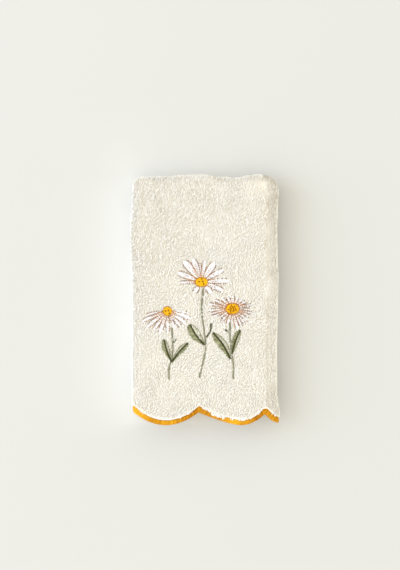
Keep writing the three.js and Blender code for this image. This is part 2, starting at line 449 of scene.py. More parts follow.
    def edging_span(self, across: Array) -> tuple[Array, Array, Array]:
        """Finds where the satin stitching starts and ends and where the cloth begins.

        Args:
            across: distances from the left fold's tip.

        Returns:
            The distances along of the outer edge, of the inner edge and of the first of the cloth.
        """
        probe = 0.5
        here = self.scallop(across)
        rise = np.abs(self.scallop(across + probe) - here) + np.abs(here - self.scallop(across - probe))
        slope = np.hypot(1.0, rise / (2 * probe))
        fill = self.notch_fill_depth * bell(self.from_notch(across), self.notch_fill_reach)
        back = self.tucked_back * soft_step(-across / self.tucked_over)
        back = back + self.under_back * soft_step((across - self.right_tip) / self.under_over)
        outer = here + back
        inner = outer + self.edging_width * slope + fill
        return outer, inner, inner + self.piece_gap * slope


class Grain:
    """Smooth random hills over a plane, the same each run. They repeat after SIZE hills."""

    SIZE = 128

    def __init__(self, seed: int, wave: float, stretch: float = 1.0, turn: float = 0.0) -> None:
        """Draws the hills.

        Args:
            seed: picks the hills.
            wave: distance from hill to hill, in millimetres.
            stretch: how much longer the hills are than wide.
            turn: the direction in which they are long, in degrees from X.
        """
        self.cells = np.random.default_rng(seed).random((self.SIZE, self.SIZE))
        self.wave = wave
        self.stretch = stretch
        self.turn = math.radians(turn)

    def __call__(self, x: Array, y: Array) -> Array:
        """Reads the hills.

        Args:
            x: places in X.
            y: places in Y.

        Returns:
            Heights from 0 to 1.
        """
        along = x * math.cos(self.turn) + y * math.sin(self.turn)
        aside = y * math.cos(self.turn) - x * math.sin(self.turn)
        u, v = along / (self.wave * self.stretch), aside / self.wave
        column, row = np.floor(u).astype(int), np.floor(v).astype(int)
        su, sv = soft_step(u - column), soft_step(v - row)

        def cell(dc: int, dr: int) -> Array:
            """The heights at one corner of the places' cells."""
            return self.cells[(row + dr) % self.SIZE, (column + dc) % self.SIZE]

        low = mix(cell(0, 0), cell(1, 0), su)
        high = mix(cell(0, 1), cell(1, 1), su)
        return mix(low, high, sv)


def read_triangles(shape: bmesh.types.BMesh) -> tuple[Array, Array]:
    """Closes and triangulates a small shape, with its faces pointing out, and frees it.

    Args:
        shape: the shape.

    Returns:
        Its corners' places, and the corners of each triangle.
    """
    bmesh.ops.remove_doubles(shape, verts=shape.verts[:], dist=1e-4)
    bmesh.ops.recalc_face_normals(shape, faces=shape.faces[:])
    bmesh.ops.triangulate(shape, faces=shape.faces[:])
    points = np.array([vertex.co[:] for vertex in shape.verts])
    faces = np.array([[vertex.index for vertex in face.verts] for face in shape.faces])
    shape.free()
    return points, faces


def grid_shares(shape: bmesh.types.BMesh) -> Array:
    """How far across and up a square grid of size 1 each of its corners lies, from 0 to 1."""
    return np.array([vertex.co[:2] for vertex in shape.verts]) + 0.5


def move_corners(shape: bmesh.types.BMesh, places: Array) -> None:
    """Moves a shape's corners to their places, in the same order."""
    for vertex, place in zip(shape.verts, places):
        vertex.co = place


def link_piece(mesh: bpy.types.Mesh, **layers: Array) -> bpy.types.Object:
    """Makes a mesh a smooth piece of the scene.

    Args:
        mesh: the finished mesh, with the piece's name.
        layers: numbers for its vertices, by the attribute's name.

    Returns:
        The new object.
    """
    mesh.shade_smooth()
    for name, values in layers.items():
        layer = mesh.attributes.new(name, "FLOAT", "POINT")
        layer.data.foreach_set("value", values.astype(np.float32).ravel())
    piece = bpy.data.objects.new(mesh.name, mesh)
    bpy.context.collection.objects.link(piece)
    return piece


def as_piece(name: str, shape: bmesh.types.BMesh, **layers: Array) -> bpy.types.Object:
    """Makes a shape a smooth piece of the scene, and frees it.

    Args:
        name: the piece's name.
        shape: the finished shape.
        layers: numbers for its vertices, by the attribute's name.

    Returns:
        The new object.
    """
    mesh = bpy.data.meshes.new(name)
    shape.to_mesh(mesh)
    shape.free()
    return link_piece(mesh, **layers)


@dataclass(frozen=True)
class Yarn:
    """A closed tube in unit sizes, made once and then copied along many strands.

    rings holds, for each of its corners, the number of the ring that it is on, sides the corner's
    place on that ring's unit circle, and faces the corners of each triangle. A looped tube is first
    spun round a wheel of the radius WHEEL.
    """

    rings: Array
    sides: Array
    faces: Array
    WHEEL: ClassVar[float] = 10.0

    @classmethod
    def straight(cls, rings: int, corners: int) -> Yarn:
        """Makes a tube with two closed ends.

        Args:
            rings: how many rings of corners it has, with its ends.
            corners: how many corners each ring has.

        Returns:
            The tube.
        """
        shape = bmesh.new()
        height = rings - 1
        bmesh.ops.create_cone(
            shape, cap_ends=True, segments=corners, radius1=1.0, radius2=1.0, depth=height
        )
        for level in range(1, height):
            geometry = shape.verts[:] + shape.edges[:] + shape.faces[:]
            plane = (0.0, 0.0, level - height / 2)
            bmesh.ops.bisect_plane(shape, geom=geometry, plane_co=plane, plane_no=(0.0, 0.0, 1.0))
        points, faces = read_triangles(shape)
        return cls(np.rint(points[:, 2] + height / 2).astype(int), points[:, :2], faces)

    @classmethod
    def looped(cls, rings: int, corners: int) -> Yarn:
        """Makes a tube that meets its own start.

        Args:
            rings: how many rings of corners it has.
            corners: how many corners each ring has.

        Returns:
            The tube.
        """
        shape = bmesh.new()
        wheel = cls.WHEEL
        bmesh.ops.create_circle(shape, segments=corners, radius=1.0)
        bmesh.ops.rotate(shape, verts=shape.verts[:], matrix=Matrix.Rotation(math.pi / 2, 3, "X"))
        bmesh.ops.translate(shape, verts=shape.verts[:], vec=(wheel, 0.0, 0.0))
        bmesh.ops.spin(
            shape, geom=shape.verts[:] + shape.edges[:], cent=(0.0, 0.0, 0.0), axis=(0.0, 0.0, 1.0),
            angle=2 * math.pi, steps=rings, use_merge=True, use_duplicate=False,
        )
        points, faces = read_triangles(shape)
        turn = np.arctan2(points[:, 1], points[:, 0]) * rings / (2 * np.pi)
        sides = np.stack([np.hypot(points[:, 0], points[:, 1]) - wheel, points[:, 2]], axis=-1)
        return cls(np.rint(turn).astype(int) % rings, sides, faces)

    def wrap(self, centre: Array, first: Array, second: Array) -> Array:
        """Carries the tube's corners to strands, from middle lines and two radii as vectors by rings."""
        points = centre[:, self.rings] + first[:, self.rings] * self.sides[:, :1]
        return points + second[:, self.rings] * self.sides[:, 1:]


def joined(name: str, points: Array, faces: Array, shade: Array) -> bpy.types.Object:
    """Joins many copies of a small shape into one smooth mesh.

    Args:
        name: the piece's name.
        points: the copies' corners in metres, as copies by corners by 3.
        faces: the corners of each triangle of one copy.
        shade: numbers from 0 to 1, as copies by corners, or by 1 where all of a copy is alike.

    Returns:
        The new object, linked to the scene.
    """
    copies, corners, _ = points.shape
    every = faces[None] + (np.arange(copies) * corners)[:, None, None]
    mesh = bpy.data.meshes.new(name)
    mesh.vertices.add(copies * corners)
    mesh.vertices.foreach_set("co", points.astype(np.float32).ravel())
    mesh.loops.add(every.size)
    mesh.loops.foreach_set("vertex_index", every.astype(np.int32).ravel())
    mesh.polygons.add(every.size // 3)
    mesh.polygons.foreach_set("loop_start", np.arange(0, every.size, 3, dtype=np.int32))
    mesh.update(calc_edges=True)
    return link_piece(mesh, shade=np.broadcast_to(shade, (copies, corners)))


class Node:
    """A socket whose arithmetic adds shader nodes."""

    def __init__(self, tree: Shader, socket: bpy.types.NodeSocket) -> None:
        """Wraps an output of the material that tree writes."""
        self.tree = tree
        self.socket = socket

    def _math(self, operation: str, *inputs: Node | float) -> Node:
        """Adds a Math node."""
        return self.tree.add("ShaderNodeMath", {"operation": operation}, *inputs)

    def __add__(self, other: Node | float) -> Node:
        """This plus other."""
        return self._math("ADD", self, other)

    def __sub__(self, other: Node | float) -> Node:
        """This less other."""
        return self._math("SUBTRACT", self, other)

    def __rsub__(self, other: float) -> Node:
        """Other less this."""
        return self._math("SUBTRACT", other, self)

    def __mul__(self, other: Node | float) -> Node:
        """This times other."""
        return self._math("MULTIPLY", self, other)

    __radd__ = __add__

    def clamp(self) -> Node:
        """This, held between 0 and 1."""
        return self._math("MINIMUM", self._math("MAXIMUM", self, 0.0), 1.0)

    def at_least(self, low: float) -> Node:
        """This, or low where it is less."""
        return self._math("MAXIMUM", self, low)

    def power(self, exponent: float) -> Node:
        """This to a power."""
        return self._math("POWER", self, exponent)

    def exp(self) -> Node:
        """e to the power of this."""
        return self._math("EXPONENT", self)


class Shader:
    """One material with a single Principled surface, written through expressions."""

    def __init__(self, name: str, **constants: float | tuple) -> None:
        """Starts the material.

        Args:
            name: the material's name.
            constants: values of the surface's own sockets, with _ for a space.
        """
        self.material = bpy.data.materials.new(name)
        self.material.use_nodes = True
        self.nodes = self.material.node_tree.nodes
        self.links = self.material.node_tree.links
        self.surface = self.nodes["Principled BSDF"]
        for socket, value in constants.items():
            self.surface.inputs[socket.replace("_", " ")].default_value = value

    def add(
        self, kind: str, settings: dict, *inputs: Node | float, out: str | int = 0, **named: object
    ) -> Node:
        """Adds a node.

        Args:
            kind: the node's type.
            settings: its own properties.
            inputs: values or links for its sockets, in order.
            out: the output that is used.
            named: values or links for sockets by name, with _ for a space.

        Returns:
            The chosen output.
        """
        node = self.nodes.new(kind)
        for key, value in settings.items():
            setattr(node, key, value)
        for socket, value in zip(node.inputs, inputs):
            self._feed(socket, value)
        for key, value in named.items():
            self._feed(node.inputs[key.replace("_", " ")], value)
        return Node(self, node.outputs[out])

    def _feed(self, socket: bpy.types.NodeSocket, value: object) -> None:
        """Links an input or sets its value.

        Args:
            socket: the input.
            value: another node's output, or a plain value.
        """
        if isinstance(value, Node):
            self.links.new(value.socket, socket)
        else:
            socket.default_value = value

    def mix(self, low: object, high: object, share: Node | float) -> Node:
        """Mixes two colours.

        Args:
            low, high: the colours at shares of 0 and 1.
            share: how far the result is from low to high.

        Returns:
            The mixed colour.
        """
        node = self.nodes.new("ShaderNodeMix")
        node.data_type = "RGBA"
        self._feed(node.inputs["Factor"], share)
        colours = [socket for socket in node.inputs if socket.type == "RGBA"]
        for socket, value in zip(colours, (low, high)):
            self._feed(socket, value if isinstance(value, Node) else (*value, 1.0))
        return Node(self, next(socket for socket in node.outputs if socket.type == "RGBA"))

    def noise(self, scale: float, detail: float = 2.0, roughness: float = 0.5) -> Node:
        """Noise from 0 to 1 on the object's own coordinates."""
        place = self.add("ShaderNodeTexCoord", {}, out="Object")
        return self.add(
            "ShaderNodeTexNoise", {}, Vector=place, Scale=scale, Detail=detail, Roughness=roughness
        )

    def attribute(self, name: str) -> Node:
        """A number that the mesh carries for each vertex."""
        return self.add("ShaderNodeAttribute", {"attribute_name": name}, out="Fac")

    def bump(self, height: Node, strength: float, distance: float) -> None:
        """Roughens the surface by a height."""
        normal = self.add(
            "ShaderNodeBump", {}, Strength=strength, Distance=distance, Height=height, out="Normal"
        )
        self.set("Normal", normal)

    def set(self, socket: str, value: Node) -> None:
        """Feeds one of the surface's sockets."""
        self.links.new(value.socket, self.surface.inputs[socket])


class Slot(Enum):
    """The record's material slots."""

    TERRY = "terry_cotton"
    MUSTARD = "mustard_thread"
    PETAL = "petal_thread"
    BLUSH = "blush_thread"
    GOLDEN = "golden_thread"
    LEAF = "leaf_thread"
    STEM = "stem_thread"


@dataclass(frozen=True)
class TerryFinish:
    """Cream cotton yarn: matt, with a faint sheen and small changes of colour from loop to loop.

    Where the sheet bears no pile, its attribute bare is 1 and the material draws the loops, with painted
    shade where their bump is low.

    Attributes:
        deep, bright, warm: painted shade between the loops and at their feet, the colour of their tops, and a
            warm tone here and there.
        fibre_wave, loop_wave, patch_wave: how many hills of fibre, loops and patches a metre holds.
        fibre_height, loop_rise: the fibres' height in metres, and how many times as high loops are.
        drawn_loop_shading, loop_light: how much painted shade and light the drawn loops add, and how much
            they lighten the shade.
        patch_contrast, warm_share: how much the patches vary, and their middle.
    """

    deep: Colour = (0.42, 0.35, 0.25)
    bright: Colour = (0.955, 0.943, 0.905)
    warm: Colour = (0.93, 0.91, 0.85)
    fibre_wave: float = 4200.0
    loop_wave: float = 520.0
    patch_wave: float = 45.0
    fibre_height: float = 0.0002
    loop_rise: float = 9.0
    bump_strength: float = 0.35
    drawn_loop_shading: float = 2.6
    loop_light: float = 0.08
    patch_contrast: float = 0.9
    warm_share: float = 0.15

    def make(self) -> bpy.types.Material:
        """Writes the material.

        Returns:
            The finished material.
        """
        shader = Shader("cream cotton terry", Roughness=0.92, Sheen_Weight=0.06, Sheen_Roughness=0.5)
        bare = shader.attribute("bare")
        loops = shader.noise(self.loop_wave, 2.0, 0.7) - 0.5
        # Drawn loops on bare cloth: painted shade where their bump is low and painted light where it is high.
        shade = shader.attribute("shade") + bare * (loops * self.drawn_loop_shading + self.loop_light)
        base = shader.mix(self.deep, self.bright, shade.clamp())
        patches = (shader.noise(self.patch_wave, 3.0) - 0.5) * self.patch_contrast + self.warm_share
        shader.set("Base Color", shader.mix(base, self.warm, patches.clamp()))
        fibres = shader.noise(self.fibre_wave, 2.0, 0.6)
        shader.bump(fibres + loops * bare * self.loop_rise, self.bump_strength, self.fibre_height)
        return shader.material


@dataclass(frozen=True)
class ThreadFinish:
    """One embroidery thread: two tones that vary from stitch to stitch, and a soft sheen."""

    name: str
    dark: Colour
    light: Colour
    roughness: float = 0.45
    plain_gloss: float = 0.15
    ply_wave: float = 3500.0
    ply_contrast: float = 0.35
    ply_height: float = 0.00015
    bump_strength: float = 0.25

    def make(self) -> bpy.types.Material:
        """Writes the material, whose gloss is tinted by the thread's own colour.

        Returns:
            The finished material.
        """
        strongest = max(self.light)
        tint = tuple(mix(self.plain_gloss, 1.0, value / strongest) for value in self.light)
        shader = Shader(
            self.name, Roughness=self.roughness, Specular_IOR_Level=0.4, Specular_Tint=(*tint, 1.0)
        )
        plies = (shader.noise(self.ply_wave, 2.0) - 0.5) * self.ply_contrast
        shade = (shader.attribute("shade") + plies).clamp()
        shader.set("Base Color", shader.mix(self.dark, self.light, shade))
        shader.bump(shader.noise(self.ply_wave, 1.0), self.bump_strength, self.ply_height)
        return shader.material


class Thread(Enum):
    """The embroidery's threads: the slot, the piece's name and the finish of each."""

    PETAL = (Slot.PETAL, "petal_stitches", ThreadFinish(
        "lilac white thread", (0.60, 0.59, 0.60), (0.80, 0.79, 0.80)))
    BLUSH = (Slot.BLUSH, "blush_stitches", ThreadFinish(
        "blush copper thread", (0.20, 0.10, 0.04), (0.56, 0.24, 0.05)))
    GOLDEN = (Slot.GOLDEN, "golden_stitches", ThreadFinish(
        "golden thread", (0.38, 0.13, 0.004), (0.97, 0.58, 0.02)))
    SEED = (Slot.BLUSH, "seed_knots", ThreadFinish(
        "russet thread", (0.17, 0.05, 0.004), (0.42, 0.13, 0.004)))
    LEAF = (Slot.LEAF, "leaf_stitches", ThreadFinish(
        "olive thread", (0.095, 0.10, 0.04), (0.46, 0.455, 0.28)))
    MIDRIB = (Slot.LEAF, "midrib_stitches", ThreadFinish(
        "dark olive thread", (0.020, 0.024, 0.008), (0.08, 0.085, 0.03)))
    STEM = (Slot.STEM, "stem_stitches", ThreadFinish(
        "grey green thread", (0.11, 0.11, 0.06), (0.40, 0.395, 0.27)))


def finish_piece(piece: bpy.types.Object, material: bpy.types.Material) -> bpy.types.Object:
    """Dresses a piece and lets it ride on the towel's one body.

    Args:
        piece: the finished mesh.
        material: its finish.

    Returns:
        The same piece.
    """
    piece.data.materials.append(material)
    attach(piece, BODY)
    LOG.info("%s: %d triangles", piece.name, len(piece.data.loops) - 2 * len(piece.data.polygons))
    return piece


@dataclass
class TerrySheet:
    """The cloth itself: one sheet through every fold, a little thinner where pile stands on it."""

    folds: TowelFolds
    front_step: float = 4.8
    hidden_step: float = 9.6
    turn_steps: int = 12
    hem_rows: int = 16
    hem_zone: float = 64.0
    planted_inset: float = 0.9
    planting_blur: float = 6.0
    hem_blur: float = 0.8
    bare_shade: float = 0.7
    # The sheet under the pile is painted darker: painted shade in the gaps between the loops.
    painted_gap_shade: float = 0.27

    def stations(self, line: FoldedLine, steps: list[float | None]) -> Array:
        """Picks the distances along a folded line at which the sheet has vertices.

        Args:
            line: the line.
            steps: the step on each of its pieces, or None on a turn.

        Returns:
            Rising distances from its start.
        """
        found: list[Array] = []
        starts = line.starts()
        for low, high, step in zip(starts, starts[1:], steps):
            count = self.turn_steps if step is None else math.ceil((high - low) / step)
            found.append(np.linspace(low, high, count, endpoint=False))
        return np.append(np.concatenate(found), starts[-1])

    def grid(self) -> tuple[Array, Array]:
        """Lays out the sheet's vertices.

        Returns:
            Distances across and along, as rows across by columns along.
        """
        folds = self.folds
        across = self.stations(
            folds.section, [self.hidden_step, None, self.front_step, None, self.hidden_step]
        ) - folds.left_tip
        level = self.stations(
            folds.stack, [self.front_step, None, self.hidden_step, None, self.hidden_step]
        )
        level = level[level > self.hem_zone + self.front_step / 2]
        edge = folds.edging_span(across)[2]
        shares = np.linspace(0.0, 1.0, self.hem_rows)
        near = mix(edge[:, None], self.hem_zone, shares[None, :])
        along = np.concatenate([near, np.broadcast_to(level, (len(across), len(level)))], axis=1)
        return np.broadcast_to(across[:, None], along.shape), along

    def build(self) -> bpy.types.Object:
        """Makes the sheet from a grid that is extruded and then folded.

        Returns:
            The sheet.
        """
        across, along = self.grid()
        columns, rows = across.shape
        shape = bmesh.new()
        bmesh.ops.create_grid(shape, x_segments=columns - 1, y_segments=rows - 1, size=0.5)
        raised = bmesh.ops.extrude_face_region(shape, geom=shape.faces[:])["geom"]
        face_side = {part for part in raised if isinstance(part, bmesh.types.BMVert)}
        shares = grid_shares(shape)
        column = np.rint(shares[:, 0] * (columns - 1)).astype(int)
        row = np.rint(shares[:, 1] * (rows - 1)).astype(int)
        side = np.array([1.0 if vertex in face_side else -1.0 for vertex in shape.verts])
        across, along = across[column, row], along[column, row]
        inset = self.inset(across, along, side)
        move_corners(shape, self.folds.place(across, along, side * (self.folds.thickness / 2 - inset)))
        bmesh.ops.recalc_face_normals(shape, faces=shape.faces[:])
        planted = inset / self.planted_inset
        # Where pile stands, the sheet takes the painted shade of the gaps between the loops.
        shade = mix(self.bare_shade, self.painted_gap_shade, planted)
        return as_piece("terry_sheet", shape, shade=shade, bare=1 - planted)

    def inset(self, across: Array, along: Array, side: Array) -> Array:
        """Finds where pile stands on a skin.

        Args:
            across, along: places on the cloth.
            side: 1 on the face of the cloth and -1 on its back.

        Returns:
            How much thinner the skin is, so that the pile on it ends where the solid does.
        """
        folds, over = self.folds, self.planting_blur
        front_start, front_end = folds.stack.starts()[3:5]
        on_front = soft_step((across + folds.left_turn + over) / over)
        on_front = on_front * soft_step((folds.right_tip + folds.right_turn + over - across) / over)
        beside_hem = soft_step((along - folds.edging_span(across)[2]) / self.hem_blur)
        under_panel = soft_step((across - folds.right_tip) / over)
        nose = soft_step((along - front_start + over) / over)
        nose = nose * soft_step((front_end + over - along) / over)
        return self.planted_inset * np.where(side > 0, on_front * beside_hem, under_panel * nose)


# The pile on the sheet's back counts as this far beyond the parting, so it is smooth.
FAR_FROM_PARTING = 9.0


@dataclass
class Zone:
    """A stretch of one skin that is planted with pile.

    across and along are its bounds, stretch how much longer its outer skin is than the sheet's middle
    in each direction, and side 1 for the face of the sheet or -1 for its back.
    """

    across: tuple[float, float]
    along: tuple[float, float]
    stretch: tuple[float, float] = (1.0, 1.0)
    side: float = 1.0


@dataclass(frozen=True)
class PileTone:
    """How light a loop's corners are, from the terry's deep colour at 0 to its bright one at 1.

    Attributes:
        floor, span: the shade at a tone of 0, and what a tone of 1 adds.
        rise: the tone that a usual loop gains from its feet to its top, so that its feet carry painted shade.
        smooth_painted_shade: painted shade on the smooth pile of the right fold, which faces away from the
            light.
        rim_painted_shade: painted shade on the upper rims, which the light strikes hardest.
            parting_painted_shade, parting_offset, parting_reach, parting_wave: how dark the painted shadow of
            the broken groove by the parting is, how far before it, how wide, and how long its strokes are.
            streaks, smooth_calm: how strong the painted shade and light that follow the streaks' heights are,
                and
            how much of that smooth pile lacks.
        ruffle, ruffle_offset, ruffle_reach: how much stronger they are before the parting.
    """

    floor: float = 0.48
    span: float = 0.52
    rise: float = 0.5
    slip: float = 0.22
    smooth_painted_shade: float = 1.2
    rim_painted_shade: float = 0.2
    parting_painted_shade: float = 1.6
    parting_offset: float = 0.8
    parting_reach: float = 1.9
    parting_wave: float = 3.0
    ruffle: float = 0.6
    ruffle_offset: float = 8.0
    ruffle_reach: float = 8.0
    streaks: float = 1.9
    smooth_calm: float = 0.7


@dataclass(frozen=True)
class PileHeight:
    """How high the loops stand, as shares of the usual height.

    Attributes:
        clumps, streaks, patches: how much small clumps, streaks and wide patches lift them.
        by_parting, parting_offset, parting_reach: how much more uneven they are before the parting.
        sunk, trimmed: how much lower they are in the hollow, and more even on the outer folds.
        smooth_share, smooth_rise: how uneven smooth pile is, and its rise towards the fold.
    """

    middle: float = 1.08
    lowest: float = 0.2
    highest: float = 1.35
    slip: float = 0.12
    clumps: float = 0.45
    streaks: float = 1.0
    patches: float = 0.12
    by_parting: float = 0.6
    parting_offset: float = 6.5
    parting_reach: float = 5.0
    sunk: float = 0.25
    trimmed: float = 0.6
    smooth_middle: float = 0.75
    smooth_share: float = 0.2
    smooth_rise: float = 0.55


@dataclass(frozen=True)
class PileLean:
    """How far the loops lean for each millimetre that they rise.

    Attributes:
        clumps_across, clumps_along, brushed: how far small clumps and wide patches lean.
        smooth_calm: how much less smooth pile leans.
        over_hem, hem_reach: how much more loops lean forwards at the hem, and how far behind it.
    """

    clumps_across: float = 1.3
    clumps_along: float = 1.0
    brushed: float = 0.5
    slip: float = 0.28
    smooth_calm: float = 0.75
    over_hem: float = 0.25
    hem_reach: float = 2.0


@dataclass
class TerryPile:
    """The looped pile, loop by loop, on every skin that shows.

    Along the right fold the pile is short and smooth, and a parting divides it from the rest.

    Attributes:
        spacing, row_slip: the way from root to root, and the share of it that a root strays.
        widths: the narrowest and widest loop, as shares of a usual one.
        lie, wander, wander_wave, lie_slip: in which direction the loops are brushed, in degrees from
            X towards Y, how far it wanders, over which way, and its slip in radians.
        parting, parting_blur, border: the parting's X, half the way over which the smooth pile
            starts, and where it rises.
        parting_dip: how much lower loops stand at the parting.
        left_stretch, right_stretch, nose_stretch: how much longer than the sheet's middle its outer
            skin is round the left, the right and the closed folds.
        painted_light_patches: broad patches of painted light and shade on the pile.
        rim_x, rim_y, rim_reach, rim_height: where the painted shade on the upper rims starts.
        overhang: between which X the pile stands over the edging.
        edging_overlap, edging_height: how far over the edging a loop is on it, and its height.
        twin_reach, twin_slip: how near the edging a loop has two twins, and how far they stray.
        pressed: how much lower loops under stitches stand.
        trim_x, trim_y: where the pile of the outer folds starts, and over which way.
    """

    folds: TowelFolds
    cover: Cover
    spacing: float = 1.56
    row_slip: float = 0.36
    yarn_radius: float = 0.34
    corners: int = 3
    turn_rings: int = 4
    loop_width: float = 2.2
    loop_height: float = 1.4
    widths: tuple[float, float] = (0.8, 1.25)
    root_depth: float = 0.25
    floor_clearance: float = 0.05
    lie: float = 70.0
    wander: float = 65.0
    wander_wave: float = 24.0
    lie_slip: float = 0.33
    parting: float = 73.7
    parting_blur: float = 0.6
    border: float = 75.0
    parting_dip: float = 0.3
    parting_reach: float = 1.3
    left_stretch: float = 1.88
    right_stretch: float = 1.44
    nose_stretch: float = 1.95
    under_start: float = 5.0
    hollow: Hump = Hump(65.0, 132.0, 10.0, 11.0, 0.8)
    # Broad patches of painted light and shade on the pile's tone.
    painted_light_patches: tuple[Hump, ...] = (
        Hump(-70, 60, 48, 90, -0.42),
        Hump(0, 135, 95, 45, -0.26),
        Hump(30, -45, 75, 95, 0.62),
    )
    rim_x: float = -86.0
    rim_y: float = 147.0
    rim_reach: float = 9.0
    rim_height: float = 21.0
    overhang: tuple[float, float] = (4.0, 25.0)
    overhang_depth: float = 3.0
    overhang_blur: float = 4.0
    edging_overlap: float = 0.3
    edging_height: float = 0.5
    twin_reach: float = 0.2
    twin_slip: float = 0.7
    pressed: float = 0.62
    trim_x: tuple[float, float] = (77.0, 5.0)
    trim_y: tuple[float, float] = (137.0, 6.0)
    tones: PileTone = PileTone()
    heights: PileHeight = PileHeight()
    leans: PileLean = PileLean()
    seed: int = 11
    largest_piece: int = 9800

    def loop(self) -> tuple[Array, Array]:
        """Makes one loop: half a ring that stands on its two feet.

        Returns:
            Its corners, 1 wide between the middles of its feet, and the corners of its triangles.
        """
        shape = bmesh.new()
        thickness = self.yarn_radius / self.loop_width
        bmesh.ops.create_circle(shape, segments=self.corners, radius=thickness)
        bmesh.ops.translate(shape, verts=shape.verts[:], vec=(0.5, 0.0, 0.0))
        bmesh.ops.spin(
            shape, geom=shape.verts[:] + shape.edges[:], cent=(0.0, 0.0, 0.0), axis=(0.0, -1.0, 0.0),
            angle=math.pi, steps=self.turn_rings - 1, use_duplicate=False,
        )
        bmesh.ops.holes_fill(shape, edges=shape.edges[:], sides=self.corners)
        return read_triangles(shape)

    def zones(self) -> list[Zone]:
        """Lists the skins that show.

        Returns:
            The planted zones, from the top face down to the floor.
        """
        folds = self.folds
        closed_start, closed_end, front_start, front_end, end = folds.stack.starts()[1:]
        left, right, tip = folds.left_turn, folds.right_turn, folds.right_tip
        panels = (
            ((left, tip - right), 1.0),
            ((-left * 1.5, left), self.left_stretch),
            ((tip - right, tip + right), self.right_stretch),
        )
        # Each pass or turn of the stack, and how much longer its outer skin is there on the face, on
        # the left folds and on the right folds; the face is hidden in the lower passes.
        stretches = (
            ((0.0, closed_start), (1.0, 1.0, 1.0)),
            ((closed_start, closed_end), (self.nose_stretch, 1.5, 1.3)),
            ((closed_end, front_start), (None, 1.0, 1.0)),
            ((front_start, front_end), (None, 0.8, 0.8)),
            ((front_end, end), (None, 1.0, 1.0)),
        )
        zones = [
            Zone(across, along, (wide, long))
            for along, lengths in stretches for (across, wide), long in zip(panels, lengths) if long
        ]
        under = (tip + right, folds.section.starts()[-1] - folds.left_tip)
        nose = (front_start - self.under_start, front_end)
        return [*zones, Zone(under, nose, (1.0, self.nose_stretch), -1.0)]

    def sow(self, zone: Zone, chance: np.random.Generator) -> tuple[Array, Array]:
        """Scatters roots over a zone, in rows that are a little uneven.

        Args:
            zone: the planted stretch.
            chance: draws the slips.

        Returns:
            The roots' distances across and along.
        """
        step_across = self.spacing / zone.stretch[0]
        step_along = self.spacing / zone.stretch[1]
        across = np.arange(zone.across[0] + step_across / 2, zone.across[1], step_across)
        along = np.arange(zone.along[0] + step_along / 2, zone.along[1], step_along)
        across, along = np.meshgrid(across, along, indexing="ij")
        along = along + step_along / 2 * (np.arange(len(across)) % 2)[:, None]
        across = across + chance.uniform(-self.row_slip, self.row_slip, across.shape) * step_across
        along = along + chance.uniform(-self.row_slip, self.row_slip, along.shape) * step_along
        inside = (across > zone.across[0]) & (across < zone.across[1])
        inside &= (along > zone.along[0]) & (along < zone.along[1])
        across, along = across[inside], along[inside]
        clear = self.behind_hem(across, along) > 0.1 - self.over_hem(across)
        across, along = across[clear], along[clear]
        near = (self.behind_hem(across, along) < self.twin_reach) & (zone.side > 0)
        slips = chance.uniform(-self.twin_slip, self.twin_slip, (2, 2, near.sum()))
        across = np.concatenate([across, *(across[near] + slip[0] for slip in slips)])
        along = np.concatenate([along, *(along[near] + slip[1] for slip in slips)])
        return across, along

    def behind_hem(self, across: Array, along: Array) -> Array:
        """How far places lie behind the edging's inner line."""
        return along - self.folds.edging_span(across)[2]

    def over_hem(self, across: Array) -> Array:
        """How far over the edging the pile stands."""
        low, high = (self.folds.across_at(x) for x in self.overhang)
        starts = soft_step((across - low) / self.overhang_blur)
        return self.overhang_depth * starts * soft_step((high - across) / self.overhang_blur)

    def beyond_parting(self, across: Array) -> Array:
        """How far places lie on the right fold's side of the parting."""
        return across - self.folds.across_at(self.parting)

    def plant(self, zone: Zone, chance: np.random.Generator) -> tuple[Array, Array]:
        """Stands loops on a zone.

        Args:
            zone: the planted stretch.
            chance: draws the differences.

        Returns:
            The loops' corners in metres, and how light each corner is.
        """
        folds = self.folds
        across, along = self.sow(zone, chance)
        is_face = zone.side > 0
        behind = self.behind_hem(across, along)
        on_edging = behind < -self.edging_overlap
        skin = np.where(on_edging, folds.edging_thickness / 2, folds.thickness / 2 - TerrySheet.planted_inset)
        base = zone.side * (skin - self.root_depth)
        root = folds.place(across, along, base)
        probe = 0.4
        sideways = unit(folds.place(across + probe, along, base) - root)
        forward = unit(folds.place(across, along + probe, base) - root)
        normal = unit(np.cross(sideways, forward)) * zone.side
        x, y, z = (root / MM).T
        beyond = self.beyond_parting(across) if is_face else np.full(len(x), FAR_FROM_PARTING)
        smooth = soft_step((beyond + self.parting_blur) / (2 * self.parting_blur))
        lean_x, lean_y = self.lean(x + z, y, smooth, chance)
        lean_y = lean_y - self.leans.over_hem * soft_step(1 - behind / self.leans.hem_reach) * is_face
        height = self.height(x, y, smooth, chance) * np.where(on_edging, self.edging_height, 1.0)
        height = height * (1 - self.parting_dip * bell(beyond, self.parting_reach))
        if is_face:
            height = height * (1 - self.pressed * self.cover.at(across, along))
        turn = self.brushed_way(x + z, y, smooth) + chance.normal(0, self.lie_slip, len(x))
        facing = sideways * np.cos(turn)[:, None] + forward * np.sin(turn)[:, None]
        up = normal + sideways * lean_x[:, None] + forward * lean_y[:, None]
        points, _ = self.shape
        width = self.loop_width * chance.uniform(*self.widths, len(x))
        # The unit loop is half as high as it is wide.
        level = height[:, None] * points[:, 2] * 2
        loops = root[:, None] + facing[:, None] * (width[:, None] * points[:, 0])[..., None] * MM
        loops = loops + np.cross(normal, facing)[:, None] * (width[:, None] * points[:, 1])[..., None] * MM
        loops = loops + up[:, None] * level[..., None] * MM
        loops[..., 2] = np.maximum(loops[..., 2], self.floor_clearance * MM)
